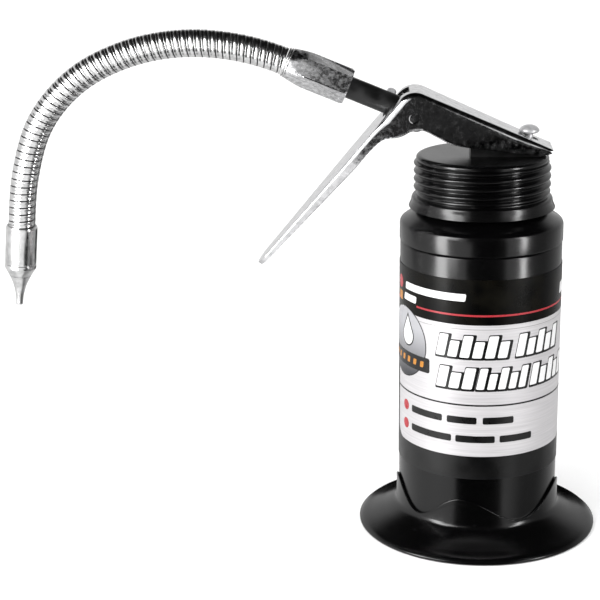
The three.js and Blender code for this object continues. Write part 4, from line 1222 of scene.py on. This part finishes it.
def nut_skin():
    """Hexagon bar, chamfered at the tube's end and turned to a rounded nose."""
    corner = NUT_FLATS / 2 / math.cos(math.radians(30))
    place = axis_place(NUT_START, SPOUT_DIRECTION)
    side_axis = place.to_3x3().inverted() @ Vector((0, -1, 0))
    up_axis = place.to_3x3().inverted() @ Vector((0, 1, 0)).cross(SPOUT_DIRECTION)
    flat = math.atan2(side_axis.y, side_axis.x)
    rolled = math.atan2(up_axis.y, up_axis.x) - flat
    roll = math.radians(15) * (1 if math.sin(rolled) > 0 else -1)
    verts = []
    for height in (0, NUT_LENGTH):
        for k in range(6):
            angle = flat + roll + math.radians(30 + 60 * k)
            verts.append(place @ Vector((corner * math.cos(angle), corner * math.sin(angle), height)))
    faces = grid_faces(2, 6)
    faces += [(list(range(6)), 0), (list(range(6, 12)), 0)]
    piece = make_piece("nut_skin", verts, faces, [NUT_STEEL])
    widest = corner + 0.1 * MM
    profile = [(0, -MM), (corner - 1.3 * MM, -MM), (corner - 0.45 * MM, 0), (widest, 1.0 * MM)]
    nose = 0.6
    profile.append((widest, nose * NUT_LENGTH))
    for share in even(0, 1, 14)[1:]:
        drop = (widest - NOSE_RADIUS) * share**1.6
        profile.append((widest - drop, (nose + (1 - nose) * share) * NUT_LENGTH))
    profile += [(NOSE_RADIUS, NUT_LENGTH + MM), (0, NUT_LENGTH + MM)]
    envelope = turned("nut_envelope", profile, [NUT_STEEL], sides=128, place=place)
    cut(piece, envelope, "INTERSECT")
    socket = TUBE_RADIUS + 0.05 * MM
    seat = 8.1 * MM
    past = 2 * MM
    bore = [(0, -past), (socket, -past), (socket, seat)]
    bore += [(OIL_BORE, seat), (OIL_BORE, NUT_LENGTH + past), (0, NUT_LENGTH + past)]
    cut(piece, turned("nut_bore", bore, [NUT_STEEL], sides=64, place=place))
    bevelled(piece, 0.18 * MM, 2, 24)
    applied(piece, 30)
    finish_piece(piece, "cap", "nut_steel", "hose_nut")


def collar_skin():
    """Two bright crimp rings between the nut and the hose."""
    low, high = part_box("hose_collar")
    middle = (low + high) / 2
    half = 0.72 * MM
    thick = 0.34 * MM
    profile = [(OIL_BORE, -half)]
    for centre, radius in ((-0.38 * MM, NOSE_RADIUS), (0.38 * MM, NOSE_RADIUS - 0.1 * MM)):
        profile += arc_points((radius - thick, centre), thick, -90, 90, 8, 0.33 * MM)
    profile.append((OIL_BORE, half))
    piece = turned("collar_skin", profile, [STEEL], sides=96, place=axis_place(middle, SPOUT_DIRECTION))
    finish_piece(piece, "cap", "bright_steel", "hose_collar")


def hose_points():
    """Start, joints and end of the hose's centre line."""
    low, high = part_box("hose_collar")
    start = (low + high) / 2 + SPOUT_DIRECTION * 0.85 * MM
    names = ["hose_bend_1", "hose_sway_2", "hose_bend_3", "hose_bend_4", "hose_sway_5", "hose_bend_6"]
    joints = [Vector(JOINTS[name]["pos_m"]) for name in names]
    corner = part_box("ferrule")[1]
    back = Vector((-NOZZLE_DIRECTION.z, 0, -NOZZLE_DIRECTION.x))
    end = Vector((corner.x, 0, corner.z)) - back * FERRULE_RADIUS
    return [start, *joints, end]


def hose_line(steps=48):
    """(points, directions) of the smooth centre line, evenly spaced."""
    spots = hose_points()
    tangents = [SPOUT_DIRECTION]
    for a, b in zip(spots, spots[2:]):
        tangents.append((b - a).normalized())
    tangents.append(NOZZLE_DIRECTION)
    points = []
    marks = []
    for i in range(len(spots) - 1):
        span = (spots[i + 1] - spots[i]).length * 1.01
        marks.append(len(points))
        for k in range(steps):
            t = k / steps
            points.append(
                spots[i] * (2 * t**3 - 3 * t**2 + 1)
                + tangents[i] * span * (t**3 - 2 * t**2 + t)
                + spots[i + 1] * (-2 * t**3 + 3 * t**2)
                + tangents[i + 1] * span * (t**3 - t**2)
            )
    marks.append(len(points))
    points.append(spots[-1])
    points.append(spots[-1] + NOZZLE_DIRECTION * 2.8 * MM)
    return points, marks


# One winding of the strip: (share of the pitch, drop below the hose's radius).
STRIP = [
    (0.0, 0.05),
    (0.025, 0.3),
    (0.075, 0.42),
    (0.125, 0.3),
    (0.15, 0.05),
    (0.19, 0.0),
    (0.35, 0.0),
    (0.58, 0.0),
    (0.61, 0.1),
    (0.65, 0.12),
    (0.69, 0.06),
    (0.9, 0.06),
    (0.96, 0.02),
]
GROOVE_ROWS = 4
HOSE_SIDES = 56


def strip_radius(phase):
    """Radius of the hose at a share of one winding."""
    phase %= 1
    rows = [*STRIP, (1.0, STRIP[0][1])]
    for (p0, d0), (p1, d1) in zip(rows, rows[1:]):
        if phase <= p1:
            return HOSE_RADIUS - MM * (d0 + (d1 - d0) * (phase - p0) / (p1 - p0))
    return HOSE_RADIUS


def hose_frame(line, travelled, distance):
    """(point, side, up) of the centre line at a distance along it."""
    k = min(max(bisect.bisect_right(travelled, distance) - 1, 0), len(line) - 2)
    share = (distance - travelled[k]) / (travelled[k + 1] - travelled[k])
    behind = (line[k + 1] - line[k - 1 if k else 0]).normalized()
    ahead = (line[min(k + 2, len(line) - 1)] - line[k]).normalized()
    direction = behind.lerp(ahead, share).normalized()
    side = Vector((0, 1, 0))
    return line[k].lerp(line[k + 1], share), side, direction.cross(side).normalized()


def hose_piece(name, line, travelled, start, end):
    """A length of hose from start to end: wound strip outside, smooth bore inside. The
    rows follow the winding and are cut off square at both ends."""
    verts = []

    def add(distance, angle, radius):
        point, side, up = hose_frame(line, travelled, distance)
        verts.append(point + (side * math.cos(angle) + up * math.sin(angle)) * radius)

    turns = range(math.floor(start / HOSE_PITCH) - 1, math.ceil(end / HOSE_PITCH) + 1)
    rows = [turn + row[0] for turn in turns for row in STRIP]
    for along in rows:
        for j in range(HOSE_SIDES):
            share = j / HOSE_SIDES
            distance = min(max((along + share) * HOSE_PITCH, start), end)
            add(distance, 2 * math.pi * share, strip_radius(distance / HOSE_PITCH - share))
    faces = grid_faces(len(rows), HOSE_SIDES, index=lambda i, j: int(i % len(STRIP) < GROOVE_ROWS))
    first = len(verts)
    bore_rows = even(start, end, 7)
    for distance in bore_rows:
        for j in range(HOSE_SIDES):
            add(distance, 2 * math.pi * j / HOSE_SIDES, HOSE_RADIUS - 1.0 * MM)
    faces += grid_faces(len(bore_rows), HOSE_SIDES, first=first, index=lambda i, j: 1)
    last_row = (len(rows) - 1) * HOSE_SIDES
    last_bore = first + (len(bore_rows) - 1) * HOSE_SIDES
    for j in range(HOSE_SIDES):
        n = (j + 1) % HOSE_SIDES
        faces.append(([j, n, first + n, first + j], 1))
        faces.append(([last_row + j, last_row + n, last_bore + n, last_bore + j], 1))
    return make_piece(name, verts, faces, [HOSE_STEEL, HOSE_GROOVE], sharp=60)


def hose_skins():
    """The hose in lengths that each bend over one joint, split midway between joints."""
    line, marks = hose_line()
    travelled = [0.0]
    for a, b in zip(line, line[1:]):
        travelled.append(travelled[-1] + (b - a).length)
    splits = [0.5 * (travelled[a] + travelled[b]) for a, b in zip(marks, marks[1:])]
    start = hose_piece("hose_skin_start", line, travelled, 0, splits[0])
    finish_piece(start, "cap", "hose_steel", "hose_segment_1")
    for k in range(6):
        piece = hose_piece(f"hose_skin_{k + 1}", line, travelled, splits[k], splits[k + 1])
        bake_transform(piece)
        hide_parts(f"hose_segment_{k + 2}")
    end = hose_piece("hose_skin_end", line, travelled, splits[6], travelled[-1])
    finish_piece(end, "hose_7", "hose_steel")


FERRULE_LENGTH = 17 * MM
FERRULE_CONE = 2.8 * MM
FERRULE_MOUTH = 3.55 * MM


def ferrule_skin():
    """Crimped sleeve over the hose's end that cones down to the nozzle."""
    start = hose_points()[-1]
    cone = FERRULE_LENGTH - FERRULE_CONE
    groove = cone - 1.4 * MM
    socket = 4.6 * MM
    plug = FERRULE_MOUTH - 0.6 * MM
    outline = [
        (socket, 0),
        (FERRULE_RADIUS - 0.3 * MM, 0),
        (FERRULE_RADIUS, 0.7 * MM),
        (FERRULE_RADIUS, groove - 0.28 * MM),
        (FERRULE_RADIUS - 0.22 * MM, groove - 0.12 * MM),
        (FERRULE_RADIUS - 0.22 * MM, groove + 0.12 * MM),
        (FERRULE_RADIUS, groove + 0.28 * MM),
        (FERRULE_RADIUS, cone),
        (FERRULE_MOUTH, FERRULE_LENGTH),
        (plug, FERRULE_LENGTH),
        (plug, FERRULE_LENGTH - 4 * MM),
        (OIL_BORE, FERRULE_LENGTH - 4 * MM),
        (OIL_BORE, 3 * MM),
        (socket, 3 * MM),
    ]
    place = axis_place(start, NOZZLE_DIRECTION)
    piece = turned("ferrule_skin", rounded(outline, 0.14 * MM, 2), [STEEL], sides=128, place=place, sharp=50)
    finish_piece(piece, "hose_7", "bright_steel", "ferrule")


def nozzle_skin():
    """Turned nozzle that tapers in a hollow curve to its small end."""
    start = hose_points()[-1]
    plug = FERRULE_MOUTH - 0.65 * MM
    shoulder = FERRULE_LENGTH + 0.05 * MM
    length = 9.9 * MM
    tip = 1.15 * MM
    hole = 0.6 * MM
    profile = [
        (hole, shoulder - 3.9 * MM),
        (plug, shoulder - 3.9 * MM),
        (plug, shoulder),
        (FERRULE_MOUTH, shoulder),
    ]
    for share in even(0, 1, 16)[1:]:
        radius = tip + (FERRULE_MOUTH - tip) * (1 - share) ** 2.2
        profile.append((radius, shoulder + share * (length - 0.1 * MM)))
    profile += [(tip - 0.12 * MM, shoulder + length), (hole, shoulder + length)]
    place = axis_place(start, NOZZLE_DIRECTION)
    piece = turned("nozzle_skin", profile, [STEEL], sides=96, place=place, sharp=50)
    finish_piece(piece, "hose_7", "bright_steel", "nozzle_tip")


# ---- Carried-over CAD nodes -------------------------------------------------------

NODE_LOOKS = {
    "cap_gasket": RUBBER,
    "pump_head": OXIDE,
    "head_screw": STEEL,
    "pump_barrel": STEEL,
    "rod_seal": RUBBER,
    "foot_valve": BRASS,
    "valve_flap": RUBBER,
    "suction_tube": NYLON,
    "strainer": NYLON,
    "piston": BRASS,
    "piston_cup": RUBBER,
}


def dress_nodes():
    for name, look in NODE_LOOKS.items():
        node = frame["nodes"][name]
        node.data.materials.clear()
        node.data.materials.append(look)
    for name, width in (("pump_head", 0.4 * MM), ("head_screw", 0.25 * MM)):
        bevelled(frame["nodes"][name], width, 3, 40)


# ---- Stage ------------------------------------------------------------------------


def stage_floor():
    """A wide pale floor that the can stands on."""
    look = Look("floor", grey(0.9), 0.9)
    look.vary_color(look.noise(3, 2), grey(0.94), grey(0.97))
    half = 12
    verts = [(-half, -half, 0), (half, -half, 0), (half, half, 0), (-half, half, 0)]
    floor = make_piece("floor", verts, [[0, 1, 2, 3]], [look.material])
    floor.location.z = -0.1 * MM
    floor.visible_glossy = False


def studio_world():
    """Studio surroundings: white in front, pale to the left and behind, dark to the right
    and overhead."""
    world = bpy.data.worlds.new("studio")
    bpy.context.scene.world = world
    world.use_nodes = True
    nodes = world.node_tree.nodes
    links = world.node_tree.links
    background = nodes["Background"]
    place = nodes.new("ShaderNodeTexCoord").outputs["Generated"]
    parts = nodes.new("ShaderNodeSeparateXYZ")
    links.new(place, parts.inputs["Vector"])

    def math_node(operation, a, b=None):
        node = nodes.new("ShaderNodeMath")
        node.operation = operation
        for socket, value in zip(node.inputs, (a, b)):
            if value is None:
                continue
            if isinstance(value, (int, float)):
                socket.default_value = value
            else:
                links.new(value, socket)
        return node.outputs[0]

    def ramp(source, stops):
        node = nodes.new("ShaderNodeValToRGB")
        elements = node.color_ramp.elements
        while len(elements) < len(stops):
            elements.new(0.5)
        for element, (position, level) in zip(elements, stops):
            element.position = position
            element.color = (level, level, level, 1)
        links.new(source, node.inputs["Fac"])
        return node.outputs["Color"]

    azimuth = math_node("ARCTAN2", parts.outputs["Y"], parts.outputs["X"])
    turn = math_node("ADD", math_node("DIVIDE", azimuth, 2 * math.pi), 0.5)
    height = math_node("ADD", math_node("MULTIPLY", parts.outputs["Z"], 0.5), 0.5)

    # Brightness by the angle from the right-hand side, in degrees; -90 is the front.
    around_can = [(-180, 0.8), (-150, 1.0), (-55, 1.0), (-25, 0.25)]
    around_can += [(5, 0.2), (35, 0.5), (75, 0.75), (180, 0.8)]
    sides = ramp(turn, [((degrees + 180) / 360, level) for degrees, level in around_can])
    rise = ramp(height, [(0.0, 1.0), (0.5, 1.0), (0.72, 0.95), (0.8, 0.02), (1.0, 0.0)])
    mixed = nodes.new("ShaderNodeMix")
    mixed.data_type = "RGBA"
    mixed.blend_type = "MULTIPLY"
    mixed.inputs["Factor"].default_value = 1.0
    links.new(sides, mixed.inputs["A"])
    links.new(rise, mixed.inputs["B"])
    links.new(mixed.outputs["Result"], background.inputs["Color"])
    background.inputs["Strength"].default_value = 1.0


def studio_lights():
    """Broad, nearly shadowless light from above and a soft panel at the left; most
    reflections come from the world."""
    sun = bpy.data.lights.new("sky", "SUN")
    sun.energy = 3.6
    sun.angle = math.radians(120)
    sky = add_object("sky", sun)
    sky.rotation_euler = (math.radians(20), 0, 0)
    sky.visible_glossy = False
    panel = bpy.data.lights.new("key_left", "AREA")
    panel.shape = "RECTANGLE"
    panel.size = 0.5
    panel.size_y = 0.5
    panel.energy = 5
    key = add_object("key_left", panel)
    key.location = (-0.7, -0.6, 0.5)
    target = Vector((0, 0, 0.08))
    key.rotation_mode = "QUATERNION"
    key.rotation_quaternion = (target - key.location).to_track_quat("-Z", "Y")


def card(name, left, right, y, low, high, level):
    """An upright sheet, facing the front, that only shows in reflections."""
    material = bpy.data.materials.new(name)
    material.use_nodes = True
    nodes = material.node_tree.nodes
    nodes.clear()
    glow = nodes.new("ShaderNodeEmission")
    glow.inputs["Color"].default_value = (level, level, level, 1)
    output = nodes.new("ShaderNodeOutputMaterial")
    material.node_tree.links.new(glow.outputs["Emission"], output.inputs["Surface"])
    verts = [(left, y, low), (right, y, low), (right, y, high), (left, y, high)]
    sheet = make_piece(name, verts, [[0, 1, 2, 3]], [material])
    sheet.visible_camera = False
    sheet.visible_diffuse = False
    sheet.visible_shadow = False


def studio_cards():
    """Dark flags close in front of the can, cut away where the trigger would mirror them,
    a bright strip to each side, and a dark flag behind the foot."""
    card("front_flag_low", -32 * MM, 75 * MM, -126 * MM, -90 * MM, 100 * MM, 0.0)
    card("front_flag_foot", -75 * MM, -32 * MM, -126 * MM, -90 * MM, 52 * MM, 0.0)
    card("front_flag_high", -48 * MM, 70 * MM, -126 * MM, 100 * MM, 260 * MM, 0.02)
    card("strip_left", -400 * MM, -205 * MM, -185 * MM, 0, 300 * MM, 13)
    card("strip_right", 240 * MM, 330 * MM, -185 * MM, 30 * MM, 300 * MM, 16)
    card("back_flag", -70 * MM, 100 * MM, 200 * MM, -50 * MM, 85 * MM, 0.0)


def camera():
    """Looks down on the can by about 17 degrees, from slightly left of straight on."""
    place = Vector((-28.586 * MM, -545.461 * MM, 238.53 * MM))
    heading = Matrix.Rotation(math.radians(3.16), 4, "Z")
    tilt = Matrix.Rotation(math.radians(90 - 16.56), 4, "X")
    roll = Matrix.Rotation(math.radians(-0.69), 4, "Z")
    data = bpy.data.cameras.new("camera")
    data.lens = 104.34
    data.sensor_width = 36
    data.clip_start = 0.01
    data.clip_end = 50
    view = add_object("camera", data)
    view.matrix_world = Matrix.Translation(place) @ heading @ tilt @ roll
    bpy.context.scene.camera = view


# ---- Assembly ---------------------------------------------------------------------

camera()
studio_world()
studio_lights()
studio_cards()
stage_floor()
bpy.context.scene.view_settings.view_transform = "Standard"

foot_skin()
can_skin()
shoulder_skin()
label_skin()
label_art()
cap_skin()
plunger_skin()
tube_skin()
spring_skin()
stud_skin(-1, "pivot_stud_near")
stud_skin(1, "pivot_stud_far")
yoke_skin()
lever_skin()
lever_nub()
nut_skin()
collar_skin()
hose_skins()
ferrule_skin()
nozzle_skin()
dress_nodes()
